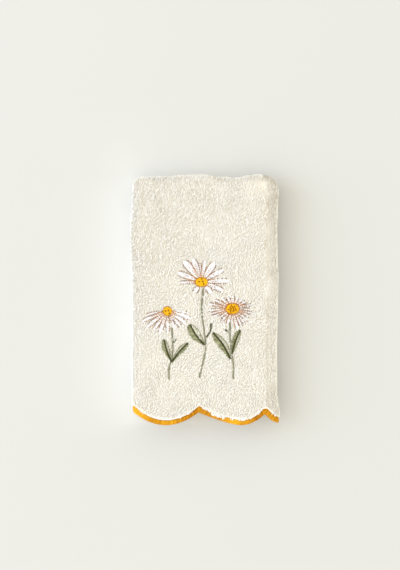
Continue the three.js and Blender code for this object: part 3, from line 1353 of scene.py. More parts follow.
        # The tones carry painted light and shade: broad patches, darker smooth pile and rims, and the
        # streaks.
        tone = self.tone(x, y) - self.tones.smooth_painted_shade * smooth - self.tones.rim_painted_shade * self.rim(x, y, z)
        tone = tone + chance.normal(0, self.tones.slip, len(x))
        tone = self.streaked(tone, x, y, beyond, smooth)
        # Feet are darker than tops: painted shade at the loops' roots.
        shade = self.tones.floor + self.tones.span * (
            tone[:, None] + self.tones.rise * level / self.loop_height
        )
        return loops, np.clip(shade, 0, 1)

    def brushed_way(self, x: Array, y: Array, smooth: Array) -> Array:
        """The way in which the loops are brushed, in radians from X towards Y."""
        wander = Grain(self.seed + 7, self.wander_wave)(x, y) - 0.5
        return np.radians(mix(self.lie + self.wander * wander, 90.0, smooth))

    def streaked(self, tone: Array, x: Array, y: Array, beyond: Array, smooth: Array) -> Array:
        """Adds the streaks' painted shade and light, and the painted shadow of the broken groove along the
        parting.

        Args:
            tone: the loops' tones so far.
            x, y: places in millimetres.
            beyond: how far they lie beyond the parting.
            smooth: 1 where the pile is smooth.

        Returns:
            The new tones.
        """
        tones = self.tones
        line = bell(beyond + tones.parting_offset, tones.parting_reach)
        tone = tone - tones.parting_painted_shade * line * Grain(self.seed + 9, tones.parting_wave)(x, y)
        ruffled = 1 + tones.ruffle * bell(beyond + tones.ruffle_offset, tones.ruffle_reach)
        return tone + (1 - tones.smooth_calm * smooth) * tones.streaks * ruffled * self.streaks(x, y)

    def tone(self, x: Array, y: Array) -> Array:
        """How light the feet of the loops are, about 1, with broad patches of painted light and shade."""
        return sum((patch.at(x, y) for patch in self.painted_light_patches), np.ones(len(x)))

    def rim(self, x: Array, y: Array, z: Array) -> Array:
        """Finds the upper rims whose loops carry painted shade, since the light strikes them hardest.

        Args:
            x, y: places in millimetres.
            z: heights.

        Returns:
            1 on the upper rim of the left and the closed fold, and 0 elsewhere.
        """
        left = soft_step((self.rim_x + self.rim_reach - x) / self.rim_reach)
        back = soft_step((y - self.rim_y + self.rim_reach) / self.rim_reach)
        return np.maximum(left, 1.1 * back) * soft_step((z - self.rim_height) / 4.0)

    def streaks(self, x: Array, y: Array) -> Array:
        """Combs short streaks in two directions that take turns.

        Args:
            x, y: places in millimetres.

        Returns:
            Heights from -0.5 to 0.5.
        """
        wave, stretch = 1.45, 3.2
        first = Grain(self.seed + 5, wave, stretch, self.lie - 18)(x, y)
        second = Grain(self.seed + 10, wave, stretch, self.lie + 14)(x, y)
        turns = soft_step(Grain(self.seed + 12, 17.0)(x, y) * 2 - 0.5)
        return mix(first, second, turns) - 0.5

    def lean(self, x: Array, y: Array, smooth: Array, chance: np.random.Generator) -> tuple[Array, Array]:
        """Works out how the loops lean.

        Args:
            x, y: places in millimetres.
            smooth: 1 where the pile is smooth.
            chance: draws the differences.

        Returns:
            How far they lean, across and along, for each millimetre that they rise.
        """
        leans = self.leans
        clump_x = Grain(self.seed + 1, 3.0)(x, y) - 0.5
        clump_y = Grain(self.seed + 2, 3.0)(x, y) - 0.5
        brushed = leans.brushed * (Grain(self.seed + 3, 26.0)(x, y) - 0.5)
        calm = 1 - leans.smooth_calm * smooth
        slips = [chance.normal(0, leans.slip, len(x)) for _ in range(2)]
        lean_x = calm * (leans.clumps_across * clump_x + brushed) + slips[0] * calm
        lean_y = calm * (leans.clumps_along * clump_y - brushed) + slips[1] * calm
        return lean_x, lean_y

    def height(self, x: Array, y: Array, smooth: Array, chance: np.random.Generator) -> Array:
        """Works out how high the loops stand.

        Args:
            x, y: places in millimetres.
            smooth: 1 where the pile is smooth.
            chance: draws the differences.

        Returns:
            The loops' heights in millimetres.
        """
        heights = self.heights
        clumps = Grain(self.seed + 4, 2.4)(x, y) - 0.5
        patches = Grain(self.seed + 6, 14.0)(x, y) - 0.5
        rough = self.hollow.at(x, y)
        beside = x - self.parting + heights.parting_offset
        by_parting = heights.by_parting * bell(beside, heights.parting_reach)
        trim = soft_step((np.abs(x) - self.trim_x[0]) / self.trim_x[1])
        trim = trim + soft_step((y - self.trim_y[0]) / self.trim_y[1])
        uneven = (heights.clumps * clumps + heights.streaks * self.streaks(x, y)) * (1 + rough + by_parting)
        uneven = uneven * (1 - heights.trimmed * np.minimum(trim, 1))
        share = heights.middle + uneven + heights.patches * patches
        share = share + chance.normal(0, heights.slip, len(x)) - heights.sunk * rough
        edge = soft_step((x - self.border) / 8.0)
        smooth_height = heights.smooth_middle + heights.smooth_share * uneven + heights.smooth_rise * edge
        share = mix(share, smooth_height, smooth)
        return self.loop_height * np.clip(share, heights.lowest, heights.highest)

    def build(self) -> list[bpy.types.Object]:
        """Plants every zone and joins the loops in pieces of a size that stays easy to handle.

        Returns:
            The pieces.
        """
        chance = np.random.default_rng(self.seed)
        self.shape = self.loop()
        planted = [self.plant(zone, chance) for zone in self.zones()]
        loops, shade = (np.concatenate(arrays) for arrays in zip(*planted))
        parts = math.ceil(len(loops) / self.largest_piece)
        return [
            joined(f"terry_pile_{number}", loops[share], self.shape[1], shade[share])
            for number, share in enumerate(np.array_split(np.arange(len(loops)), parts), start=1)
        ]


@dataclass
class SatinEdging:
    """The satin-stitched scalloped edge: a firm band and the slanting threads wound round it.

    Attributes:
        core_end, core_margin: how far the band ends before the threads at its ends and its edges.
        thread_width, thread_depth: half a thread's breadth and depth.
        lengths: the shortest and longest thread, as shares.
        squareness: the powers that round the band's section, along and up.
        slant, slant_over: how far a thread leans from edge to edge, and the share of it from the
            under to the upper side.
        mitre_reach: how far from a notch the threads turn square to the scallop.
        grain_shade, grain_wave: how much threads differ in soft stretches, and how long these are.
        painted_light_and_shade: how much lighter or darker the threads are at each place across the face, as
            painted light and shade.
    """

    folds: TowelFolds
    core_thickness: float = 1.9
    core_columns: int = 420
    core_rows: int = 10
    core_end: float = 0.2
    core_margin: float = 0.35
    # The band under the threads is dark: painted shade in the gaps between the threads.
    core_gap_shade: float = 0.1
    thread_pitch: float = 0.6
    thread_width: float = 0.37
    thread_depth: float = 0.24
    thread_rings: int = 10
    thread_corners: int = 4
    thread_end: float = 0.4
    pitch_slip: float = 0.05
    lengths: tuple[float, float] = (0.97, 1.04)
    squareness: tuple[float, float] = (0.75, 0.6)
    slant: float = 0.55
    slant_over: float = 0.6
    slant_slip: float = 0.06
    mitre_reach: float = 4.0
    shade: float = 0.5
    shade_slip: float = 0.2
    grain_shade: float = 0.4
    grain_wave: float = 9.0
    # Painted light and shade along the edging: lighter at the left end, darker on some rises.
    painted_light_and_shade: SoftTable = SoftTable(
        (-87, 0.55), (-70, 0.15), (-45, 0.0), (-20, -0.5), (2, -0.2), (35, 0.2), (60, -0.3),
        (75, 0.0), (86, 0.1),
    )
    seed: int = 31

    def span(self) -> tuple[float, float]:
        """Where the edging starts and ends across the cloth."""
        starts = self.folds.section.starts()
        return starts[0] - self.folds.left_tip, starts[-1] - self.folds.left_tip

    def outline(self, turn: Array) -> tuple[Array, Array]:
        """Draws the band's flat, round section.

        Args:
            turn: angles round the section.

        Returns:
            The ways along and up, from -1 to 1.
        """
        along, lift = (
            np.sign(way) * np.abs(way) ** power
            for way, power in zip((np.cos(turn), np.sin(turn)), self.squareness)
        )
        return along, lift

    def build_core(self) -> bpy.types.Object:
        """Makes the band under the threads: a grid that is rolled into a tube and closed.

        Returns:
            The band.
        """
        low, high = self.span()
        shape = bmesh.new()
        bmesh.ops.create_grid(shape, x_segments=self.core_columns, y_segments=self.core_rows, size=0.5)
        shares = grid_shares(shape)
        across = mix(low + self.core_end, high - self.core_end, shares[:, 0])
        outer, inner, _ = self.folds.edging_span(across)
        along, lift = self.outline(shares[:, 1] * 2 * np.pi)
        middle, half = (outer + inner) / 2, (inner - outer) / 2 - self.core_margin
        move_corners(shape, self.folds.place(across, middle + along * half, lift * self.core_thickness / 2))
        bmesh.ops.remove_doubles(shape, verts=shape.verts[:], dist=1e-6)
        bmesh.ops.holes_fill(shape, edges=shape.edges[:], sides=self.core_rows)
        bmesh.ops.recalc_face_normals(shape, faces=shape.faces[:])
        return as_piece("satin_band", shape, shade=np.full(len(shape.verts), self.core_gap_shade))

    def build_threads(self) -> bpy.types.Object:
        """Winds the threads: closed rings at even steps round the scallops.

        Returns:
            The threads, joined.
        """
        low, high = self.span()
        chance = np.random.default_rng(self.seed)
        fine = np.arange(low + self.thread_end, high - self.thread_end, 0.1)
        middle = sum(self.folds.edging_span(fine)[:2]) / 2
        way = np.concatenate([[0.0], np.cumsum(np.hypot(np.diff(fine), np.diff(middle)))])
        count = round(way[-1] / self.thread_pitch)
        across = np.interp((np.arange(count) + 0.5) * self.thread_pitch, way, fine)
        across = across + chance.normal(0, self.pitch_slip, count)
        outer, inner, _ = self.folds.edging_span(across)
        rise = np.interp(across, fine, np.gradient(middle, fine))
        lie = rise * (1 - bell(self.folds.from_notch(across), self.mitre_reach))
        half = (inner - outer) / 2 / (1 + rise * lie) * chance.uniform(*self.lengths, count)
        yarn = Yarn.looped(self.thread_rings, self.thread_corners)
        way_along, way_lift = self.outline(np.arange(self.thread_rings) * 2 * np.pi / self.thread_rings)
        reach = half[:, None] * way_along
        slant = self.slant * (way_along + self.slant_over * way_lift)
        slant = slant + chance.normal(0, self.slant_slip, count)[:, None]
        centre = np.stack([
            across[:, None] - lie[:, None] * reach + slant,
            ((outer + inner) / 2)[:, None] + reach,
            np.broadcast_to(way_lift * (self.folds.edging_thickness / 2 - self.thread_depth), reach.shape),
        ], axis=-1)
        ahead = unit(np.roll(centre, -1, axis=1) - np.roll(centre, 1, axis=1))
        beside = unit(np.stack([np.ones(count), lie, np.zeros(count)], axis=-1))[:, None]
        beside = np.broadcast_to(beside, ahead.shape)
        outward = unit(np.cross(beside, ahead))
        corners = yarn.wrap(centre, outward * self.thread_depth, beside * self.thread_width)
        points = self.folds.place(*np.moveaxis(corners, -1, 0))
        grain = Grain(self.seed + 1, self.grain_wave)(across, across * 0) - 0.5
        shade = chance.normal(self.shade, self.shade_slip, count)
        # Adds the painted light and shade along the edging.
        shade = shade + self.painted_light_and_shade(across - self.folds.across_at(0.0)) + self.grain_shade * grain
        return joined("satin_threads", points, yarn.faces, np.clip(shade, 0, 1)[:, None])


class Cover:
    """Where stitches press the pile down: a raster over the front panel's face."""

    def __init__(self, cell: float = 0.5, size: tuple[int, int] = (400, 700)) -> None:
        """Clears a raster of size cells, each of them cell millimetres wide."""
        self.cell = cell
        self.cells = np.zeros(size)

    def mark(self, across: Array, along: Array) -> None:
        """Marks the cells round these places.

        Args:
            across, along: places on the cloth.
        """
        column, row = ((way / self.cell).astype(int) for way in (across, along))
        for shift_a in (-1, 0, 1):
            for shift_b in (-1, 0, 1):
                self.cells[column + shift_a, row + shift_b] = 1.0

    def at(self, across: Array, along: Array) -> Array:
        """Reads the raster.

        Args:
            across, along: places on the cloth.

        Returns:
            1 where a place is marked and 0 elsewhere.
        """
        cells = (
            np.clip((way / self.cell).astype(int), 0, count - 1)
            for way, count in zip((across, along), self.cells.shape)
        )
        return self.cells[tuple(cells)]


# A pixel of the photograph in millimetres, and the pixels at the middles of the towel and the picture.
PIXEL = 1.18
NEAT_MIDDLE = (206.0, 300.0)
PICTURE_MIDDLE = (200.0, 285.0)


def on_face(pixel: tuple[float, float]) -> Array:
    """Millimetres on the towel's face from a pixel of the photograph, from the neat towel's middle."""
    return np.array([(pixel[0] - NEAT_MIDDLE[0]) * PIXEL, (NEAT_MIDDLE[1] - pixel[1]) * PIXEL])


def along_curve(points: Array, shares: Array) -> Array:
    """Draws a smooth curve.

    Args:
        points: the points that the curve goes through.
        shares: shares of its way, from 0 to 1.

    Returns:
        The places at these shares.
    """
    points = np.asarray(points, dtype=float)
    knots = distances(points)
    slopes = np.gradient(points, knots, axis=0)
    at = np.clip(shares, 0, 1) * knots[-1]
    index = np.clip(np.searchsorted(knots, at, side="right") - 1, 0, len(points) - 2)
    length = (knots[index + 1] - knots[index])[:, None]
    t = ((at - knots[index])[:, None]) / length
    start, end = points[index], points[index + 1]
    rise_in, rise_out = slopes[index] * length, slopes[index + 1] * length
    curve = (2 * t**3 - 3 * t**2 + 1) * start + (t**3 - 2 * t**2 + t) * rise_in
    return curve + (3 * t**2 - 2 * t**3) * end + (t**3 - t**2) * rise_out


def aside(line: Array) -> Array:
    """The directions to the left of a line, at each of its points."""
    ahead = unit(np.gradient(line, axis=0))
    return np.stack([-ahead[:, 1], ahead[:, 0]], axis=-1)


@dataclass(frozen=True)
class StitchRow:
    """A kind of row of stitches.

    Attributes:
        length, gap: a stitch's length, and the way to the next one, negative if they overlap.
        width, height: the thread's breadth, and how far it stands above the pressed ground.
        shade: its tone from 0, dark, to 1, light.
        skip: the share of stitches that are left out.
    """

    thread: Thread
    length: float
    gap: float
    width: float
    height: float
    shade: float
    skip: float = 0.0


PETAL_FILL = StitchRow(Thread.PETAL, 5.6, -0.3, 0.74, 0.42, 0.62)
PETAL_OUTLINE = StitchRow(Thread.BLUSH, 1.8, 0.2, 1.0, 0.7, 0.7)
PETAL_DASHES = StitchRow(Thread.BLUSH, 1.5, 0.85, 1.3, 0.78, 0.2, 0.05)
PETAL_VEIN = StitchRow(Thread.BLUSH, 1.2, 1.3, 1.15, 0.72, 0.4, 0.1)
DISC_FILL = StitchRow(Thread.GOLDEN, 2.4, -0.2, 0.62, 0.95, 0.88)
DISC_RIM = StitchRow(Thread.GOLDEN, 1.5, 0.6, 1.4, 1.05, 0.1)
STEM_LANE = StitchRow(Thread.STEM, 2.4, -0.2, 0.7, 0.62, 0.5, 0.06)
MIDRIB_LANE = StitchRow(Thread.MIDRIB, 2.8, -0.4, 0.8, 0.85, 0.35)
LEAF_OUTLINE = StitchRow(Thread.LEAF, 2.1, 0.35, 0.75, 0.55, 0.3, 0.08)
LEAF_INNER = StitchRow(Thread.LEAF, 1.5, 0.5, 0.7, 0.5, 0.8, 0.2)


@dataclass
class Needle:
    """Lays stitches on the towel's face and, at the end, makes one mesh for each thread.

    Attributes:
        ground: the height of the pressed ground over the sheet's middle.
        shortest: a row ends where less than this is left.
        lengths, gaps: the shortest and longest stitch and gap, as shares.
        profile: a stitch's rings, each with its share of the way, of the height and of the breadth.
        thickest, flatness: the greatest thickness, and the share of it that is kept.
    """

    folds: TowelFolds
    cover: Cover
    ground: float = 0.95
    shortest: float = 0.3
    lengths: tuple[float, float] = (0.8, 1.2)
    gaps: tuple[float, float] = (0.7, 1.3)
    slip: float = 0.08
    tone_slip: float = 0.12
    profile: tuple[tuple[float, float, float], ...] = (
        (0.0, -0.9, 0.6), (0.08, 0.55, 0.9), (0.32, 1.0, 1.0), (0.68, 1.0, 1.0), (0.92, 0.55, 0.9),
        (1.0, -0.9, 0.6),
    )
    corners: int = 4
    thickest: float = 0.5
    flatness: float = 0.9
    seed: int = 71
    stitches: dict[Thread, list[tuple[float, ...]]] = field(default_factory=dict)

    def __post_init__(self) -> None:
        """Starts the needle's own run of small slips."""
        self.chance = np.random.default_rng(self.seed)

    def stitch(
        self, thread: Thread, start: Array, end: Array, width: float, height: float, shade: float
    ) -> None:
        """Lays one stitch on the face. Its shade is from 0, dark, to 1, light."""
        self.stitches.setdefault(thread, []).append((*start, *end, width, height, shade))

    def run(
        self, row: StitchRow, line: Array, lighter: float = 0.0, start: float = 0.0, sparser: float = 0.0
    ) -> None:
        """Lays a row of stitches along a line.

        Args:
            row: the kind of row.
            line: close points along it.
            lighter: what is added to its shade.
            start: how far into the line the first stitch starts.
            sparser: what is added to the share of stitches that are left out.
        """
        way = distances(line)
        at = start
        while at < way[-1] - self.shortest:
            stop = min(at + row.length * self.chance.uniform(*self.lengths), way[-1])
            start_point, end_point = (point_on(line, way, place) for place in (at, stop))
            slips = self.chance.normal(0, self.slip, (2, 2))
            if self.chance.random() >= row.skip + sparser:
                tone = row.shade + lighter + self.chance.normal(0, self.tone_slip)
                ends = start_point + slips[0], end_point + slips[1]
                self.stitch(row.thread, *ends, row.width, row.height, tone)
            at = way[-1] if stop == way[-1] else stop + row.gap * self.chance.uniform(*self.gaps)

    def knot(self, thread: Thread, spot: Array, size: float, height: float, shade: float) -> None:
        """Lays one short, thick stitch on a spot of the face."""
        reach = np.array([size / 2, size / 6])
        self.stitch(thread, spot - reach, spot + reach, size, height, shade)

    def build(self) -> dict[Thread, bpy.types.Object]:
        """Makes a mesh of each thread's stitches, and marks the ground that they cover.

        Returns:
            The piece of each thread.
        """
        shares, arch, girth = np.array(self.profile).T
        yarn = Yarn.straight(len(shares), self.corners)
        pieces = {}
        for thread, rows in self.stitches.items():
            table = np.array(rows)
            start, end = table[:, None, 0:2], table[:, None, 2:4]
            width, height, shade = table[:, 4, None], table[:, 5, None], np.clip(table[:, 6, None], 0, 1)
            plan = mix(start, end, shares[None, :, None])
            across, along = self.folds.across_at(plan[..., 0]), self.folds.along_at(plan[..., 1])
            centre = np.stack([across, along, self.ground + height * arch], axis=-1)
            ahead = unit(end - start)
            beside = np.stack([-ahead[..., 1], ahead[..., 0], np.zeros((len(table), 1))], axis=-1)
            first = beside * (width / 2 * girth)[..., None]
            second = np.zeros_like(first)
            second[..., 2] = np.minimum(width, self.thickest) / 2 * girth * self.flatness
            points = self.folds.place(*np.moveaxis(yarn.wrap(centre, first, second), -1, 0))
            pieces[thread] = joined(thread.value[1], points, yarn.faces, shade)
            dense = mix(start, end, np.linspace(0, 1, 24)[None, :, None])
            self.cover.mark(
                self.folds.across_at(dense[..., 0]).ravel(), self.folds.along_at(dense[..., 1]).ravel()
            )
        return pieces


@dataclass
class Daisy:
    """One embroidered daisy.

    Attributes:
        middle: the disc's middle, a pixel.
        disc: the disc's half width and half height, in millimetres.
        petals: for each petal its direction in degrees from +X towards +Y, and its reach from the
            disc's middle and its breadth, in pixels.
        droop: how far a level petal's tip hangs, in millimetres.
        copper: the share of each outline that is sewn closely.
        seeds: how many knots the disc has.
        faded: the direction, in degrees, in which the outlines are sewn most openly.
    """

    middle: tuple[float, float]
    disc: tuple[float, float]
    petals: tuple[tuple[float, float, float], ...]
    droop: float
    copper: float
    seeds: int
    faded: float = -30.0

    def sew(self, needle: Needle) -> None:
        """Sews the petals and then the disc over their roots.

        Args:
            needle: lays the stitches.
        """
        for angle, reach, breadth in self.petals:
            self.sew_petal(needle, math.radians(angle), reach * PIXEL, breadth * PIXEL)
        self.sew_disc(needle)

    def petal_line(self, angle: float, reach: float) -> Array:
        """Draws a petal's middle line.

        Args:
            angle: its direction in radians.
            reach: how far its tip lies from the disc's middle.

        Returns:
            Points from the disc's rim to the tip.
        """
        aim = np.array([math.cos(angle), math.sin(angle)])
        root = 0.8
        near = root / math.hypot(aim[0] / self.disc[0], aim[1] / self.disc[1])
        shares = np.linspace(0, 1, 30)[:, None]
        sag = np.array([0.0, -self.droop]) * (shares**2 - shares) * abs(aim[0])
        return on_face(self.middle) + aim * mix(near, reach, shares) + sag

    def sew_petal(self, needle: Needle, angle: float, reach: float, breadth: float) -> None:
        """Sews one petal: a pale filling, then copper outlines that open into dashes towards the tip.

        Args:
            needle: lays the stitches.
            angle: its direction in radians.
            reach: how far its tip lies from the disc's middle.
            breadth: how wide it is.
        """
        chance = needle.chance
        line = self.petal_line(angle, reach)
        left = aside(line)
        share = np.linspace(0, 1, len(line))
        root, swell, blunt, edge_lane, middle_lane, late = 0.3, 0.8, 6, 0.86, 0.5, 3
        half = breadth / 2 * mix(root, 1, share**swell) * np.sqrt(np.clip(1 - share**blunt, 0.02, 1))
        for lane in np.linspace(-edge_lane, edge_lane, max(3, round(breadth / PETAL_FILL.width))):
            path = line + left * (half * lane)[:, None]
            skipped = 0 if abs(lane) < middle_lane else late
            needle.run(PETAL_FILL, path[skipped:], lighter=0.2 * lane, start=chance.uniform(0, 1.5))
        faded = max(0.0, math.cos(angle - math.radians(self.faded)))
        for edge in (-1, 1):
            path = (line + left * (half * edge)[:, None])[:-2]
            share = self.copper * (1 - 0.5 * faded) + chance.normal(0, 0.15)
            close = int(len(path) * np.clip(share, 0.1, 0.85))
            needle.run(PETAL_OUTLINE, path[: close + 1])
            needle.run(PETAL_DASHES, path[close:], sparser=0.4 * faded)
        vein = line[3 : int(len(line) * chance.uniform(0.3, 0.75))]
        needle.run(PETAL_VEIN, vein, start=0.5)

    def sew_disc(self, needle: Needle) -> None:
        """Sews the raised golden disc, its dashed rim and its russet seed knots.

        Args:
            needle: lays the stitches.
        """
        middle = on_face(self.middle)
        wide, tall = self.disc
        for level in np.arange(-tall + 0.3, tall - 0.2, 0.52):
            reach = wide * math.sqrt(max(0.0, 1 - (level / tall) ** 2))
            line = middle + np.stack([np.linspace(-reach, reach, 12), np.full(12, level)], axis=-1)
            domed = replace(DISC_FILL, height=DISC_FILL.height - 0.25 * abs(level) / tall)
            needle.run(domed, line, start=needle.chance.uniform(0, 0.6))
        turns = np.linspace(0, 2 * np.pi, 60)
        needle.run(DISC_RIM, middle + np.stack([wide * np.cos(turns), tall * np.sin(turns)], axis=-1))
        golden_turn = math.pi * (3 - math.sqrt(5))
        first_turn, spread, many = 0.6, 0.68, 8
        for number in range(self.seeds):
            turn = number * golden_turn + first_turn
            far = spread * math.sqrt((number + 0.5) / self.seeds)
            spot = middle + far * np.array([wide * math.cos(turn), tall * math.sin(turn)])
            needle.knot(Thread.SEED, spot, 1.7, 1.55, 0.6 if self.seeds > many else 0.05)


@dataclass
class Stem:
    """A stem in split stitch.

    Attributes:
        points: pixels that it goes through.
        breadth: how wide it is, in millimetres.
        thread, shade: its thread, and how light it is.
        knob: the size of the knot at its far end.
        wobble, sway: how far it strays from point to point, and its lanes.
    """

    points: tuple[tuple[float, float], ...]
    breadth: float = 2.0
    thread: Thread = Thread.STEM
    shade: float = 0.5
    knob: float = 0.0
    wobble: float = 0.11
    sway: float = 0.05

    def sew(self, needle: Needle) -> None:
        """Sews the stem's lanes side by side.

        Args:
            needle: lays the stitches.
        """
        chance = needle.chance
        line = along_curve(np.array([on_face(point) for point in self.points]), np.linspace(0, 1, 60))
        left = aside(line)
        wobble = np.cumsum(chance.normal(0, self.wobble, len(line)))
        wobble = wobble - np.linspace(0, wobble[-1], len(line))
        line = line + left * wobble[:, None]
        row = replace(STEM_LANE, thread=self.thread, shade=self.shade)
        lane_pitch, edge = 0.6, 0.55
        lanes = max(1, round(self.breadth / lane_pitch))
        for lane in np.linspace(-0.5, 0.5, lanes) if lanes > 1 else (0.0,):
            sway = np.cumsum(chance.normal(0, self.sway, len(line)))
            path = line + left * ((self.breadth - edge) * lane + sway - sway.mean())[:, None]
            needle.run(row, path, lighter=-0.5 * lane, start=chance.uniform(0, 1.6))
        if self.knob:
            needle.knot(self.thread, line[-1], self.knob, 0.9, 0.1)


@dataclass
class Leaf:
    """A leaf in slanting satin stitch, with a dark midrib.

    Attributes:
        base, tip: pixels.
        breadth: the whole width, in millimetres.
        bend: how far the midrib bows to its left, in millimetres.
        full_side: 1 if the closely sewn half is on the left of the midrib, -1 if on the right.
        belly: above 1, the leaf is widest nearer to its tip.
        rib: the midrib's breadth at its root, in millimetres.
    """

    base: tuple[float, float]
    tip: tuple[float, float]
    breadth: float
    bend: float = 0.0
    full_side: int = 1
    belly: float = 1.3
    rib: float = 1.7

    def sew(self, needle: Needle) -> None:
        """Sews both halves and then the midrib over their roots.

        Args:
            needle: lays the stitches.
        """
        base, tip = on_face(self.base), on_face(self.tip)
        ahead = tip - base
        length = np.linalg.norm(ahead)
        bow = (base + tip) / 2 + np.array([-ahead[1], ahead[0]]) / length * self.bend
        line = along_curve(np.array([base, bow, tip]), np.linspace(0, 1, 50))
        left = aside(line)
        self.sew_full_half(needle, line, left * self.full_side, length)
        self.sew_open_half(needle, line, left * -self.full_side, length)
        width = self.rib * (1 - 0.3 * np.linspace(0, 1, len(line)))
        for lane, start in ((-0.5, 0.0), (-0.17, 0.9), (0.17, 1.7), (0.5, 0.5)):
            path = line + left * (width * lane * 0.8)[:, None]
            needle.run(MIDRIB_LANE, path, lighter=-0.5 * lane, start=start)

    def half_width(self, share: Array | float) -> Array | float:
        """The half leaf's width at a share of its length."""
        return self.breadth / 2 * np.sin(np.pi * np.clip(share * 0.93 + 0.06, 0, 1) ** self.belly) ** 0.7

    def sew_full_half(self, needle: Needle, line: Array, outward: Array, length: float) -> None:
        """Sews one half closely, with stitches that leave the midrib and lean towards the tip.

        Args:
            needle: lays the stitches.
            line, outward: the midrib, and the directions away from it.
            length: its length.
        """
        chance = needle.chance
        ahead = unit(np.gradient(line, axis=0))
        places = np.arange(len(line))
        pitch, overhang, slant = 0.52, 1.15, 0.6
        for share in np.arange(0.06, 0.99, pitch / length):
            index = share * (len(line) - 1)
            root, out, on = (point_on(values, places, index) for values in (line, outward, ahead))
            half = self.half_width(share) * chance.uniform(0.62, 1.2) * overhang
            end = root + out * half + on * half * slant
            tone = chance.normal(0.45, 0.28)
            needle.stitch(Thread.LEAF, root + out * 0.2, end, 0.66, 0.5, tone)
            if chance.random() < 0.5:
                middle = mix(root, end, chance.uniform(0.3, 0.6))
                needle.stitch(Thread.LEAF, middle, mix(middle, end, 0.8), 0.6, 0.75, tone - 0.3)

    def sew_open_half(self, needle: Needle, line: Array, outward: Array, length: float) -> None:
        """Sews the other half openly: a broken outline and short loose stitches inside it.

        Args:
            needle: lays the stitches.
            line, outward: the midrib, and the directions away from it.
            length: its length.
        """
        chance = needle.chance
        half = self.half_width(np.linspace(0, 1, len(line)))[:, None]
        border, inside = (line + outward * (half * far) for far in (0.95, 0.7))
        needle.run(LEAF_OUTLINE, border[5:])
        needle.run(LEAF_INNER, inside[8:-6])
        pitch, sewn = 0.85, 0.55
        for at in np.arange(0.12, 0.9, pitch / length):
            index = round(at * (len(line) - 1))
            if chance.random() < sewn:
                reach = outward[index] * self.half_width(at)
                start, end = (line[index] + reach * far for far in (0.5, 0.95))
                needle.stitch(Thread.LEAF, start, end, 0.6, 0.5, chance.normal(0.75, 0.15))


@dataclass
class Embroidery:
    """The three daisies with their stems and leaves. Places are pixels of the photograph."""

    folds: TowelFolds
    cover: Cover
    daisies: tuple[Daisy, ...] = (
        Daisy(
            (201.5, 282.0), (7.4, 5.4),
            (
                (-178, 22, 4.2), (-124, 13, 6.6), (-48, 15.5, 6.6), (-22, 24, 6.4), (2, 28, 6.4),
                (29, 26, 6.4), (56, 23.5, 8.6), (80, 22.5, 5.4), (95, 20, 2.8), (110, 25, 7.6),
                (130, 27.5, 9.2), (159, 25.5, 7.2),
            ),
            1.5, 0.42, 4,
        ),
        Daisy(
            (167.4, 311.2), (5.2, 5.3),
            (
                (-168, 22, 4.2), (-158, 27.5, 4.8), (-142, 26.5, 4.8), (-126, 23.5, 4.6), (-110, 24.5, 5.4),
                (-89, 21.5, 4.6), (-66, 20, 3.8), (-50, 21, 4.2), (-34, 23, 5.4), (-18, 24.5, 5.4),
                (-6, 21, 4.0),
            ),
            4.0, 0.42, 3,
        ),
        Daisy(
            (232.6, 308.8), (8.0, 6.2),
            (
                (-176, 25, 3.2), (-167, 23.5, 3.0), (-158, 21, 3.0), (-146, 15, 3.2), (-131, 17.5, 3.4),
                (-108, 17, 4.4), (-76, 21, 4.6), (-62, 20.5, 3.8), (-50, 20, 3.2), (-37, 21, 3.2),
                (-24, 20, 2.8), (-13, 25.5, 3.2), (-3, 18.5, 3.0), (12, 21, 3.4), (28, 16.5, 3.4),
                (46, 13.5, 4.0), (66, 12.5, 4.2), (89, 13.5, 5.2), (112, 12.5, 4.6), (136, 15, 4.2),
                (154, 20.5, 4.0), (168, 25, 3.2),
            ),
            1.0, 0.55, 13, 0.0,
        ),
    )
    stems: tuple[Stem, ...] = (
        Stem(((203, 288), (201.6, 309), (204, 332), (205.5, 347), (202, 365), (199, 378))),
        Stem(((171.5, 327), (172.6, 345), (172, 358), (169.6, 367), (169, 380))),
        Stem(((230, 321), (231, 349), (232.6, 360), (233.6, 379))),
        Stem(((206, 338.5), (209.5, 332.5), (211.5, 323)), 2.0, Thread.MIDRIB, 0.6),
        Stem(((172.6, 343), (175.8, 340)), 1.2, Thread.MIDRIB, 0.8, 1.8),
        Stem(((229.9, 333.5), (226, 330)), 1.3, Thread.MIDRIB, 0.7, 2.0),
    )
    leaves: tuple[Leaf, ...] = (
        Leaf((172, 363), (164, 339.5), 8.0, 1.0, 1, 1.7, 2.0),
        Leaf((172, 362), (188, 343), 7.4, 1.2, -1, 1.5, 1.9),
        Leaf((205, 345.6), (190, 324.6), 12.0, 1.5, 1, 1.45, 2.1),
        Leaf((231, 359.6), (213, 332.5), 10.0, -2.0, 1, 1.2, 2.2),
        Leaf((232, 354.4), (240.6, 330), 8.0, 1.0, 1, 1.5, 2.1),
    )

    def build(self) -> dict[Thread, bpy.types.Object]:
        """Sews stems, leaves and flowers, and makes the threads' meshes.

        Returns:
            The piece of each thread.
        """
        needle = Needle(self.folds, self.cover)
        for group in (self.stems, self.leaves, self.daisies):
            for motif in group:
                motif.sew(needle)
        return needle.build()


@dataclass(frozen=True)
class Lamp:
    """A square light that faces the towel. Its angles are degrees, its lengths metres, its power watts."""

    name: str
    azimuth: float
    elevation: float
    size: float
    power: float
    colour: Colour
    distance: float

    def hang(self) -> None:
        """Hangs the light and turns it to the towel."""
        data = bpy.data.lights.new(self.name, "AREA")
        data.shape = "SQUARE"
        data.size = self.size
        data.energy = self.power
        data.color = self.colour
        light = bpy.data.objects.new(self.name, data)
        azimuth, elevation = math.radians(self.azimuth), math.radians(self.elevation)
        level = math.cos(elevation)
        aim = Vector((math.cos(azimuth) * level, math.sin(azimuth) * level, math.sin(elevation)))
        light.location = aim * self.distance
        light.rotation_euler = aim.to_track_quat("Z", "Y").to_euler()
        bpy.context.collection.objects.link(light)


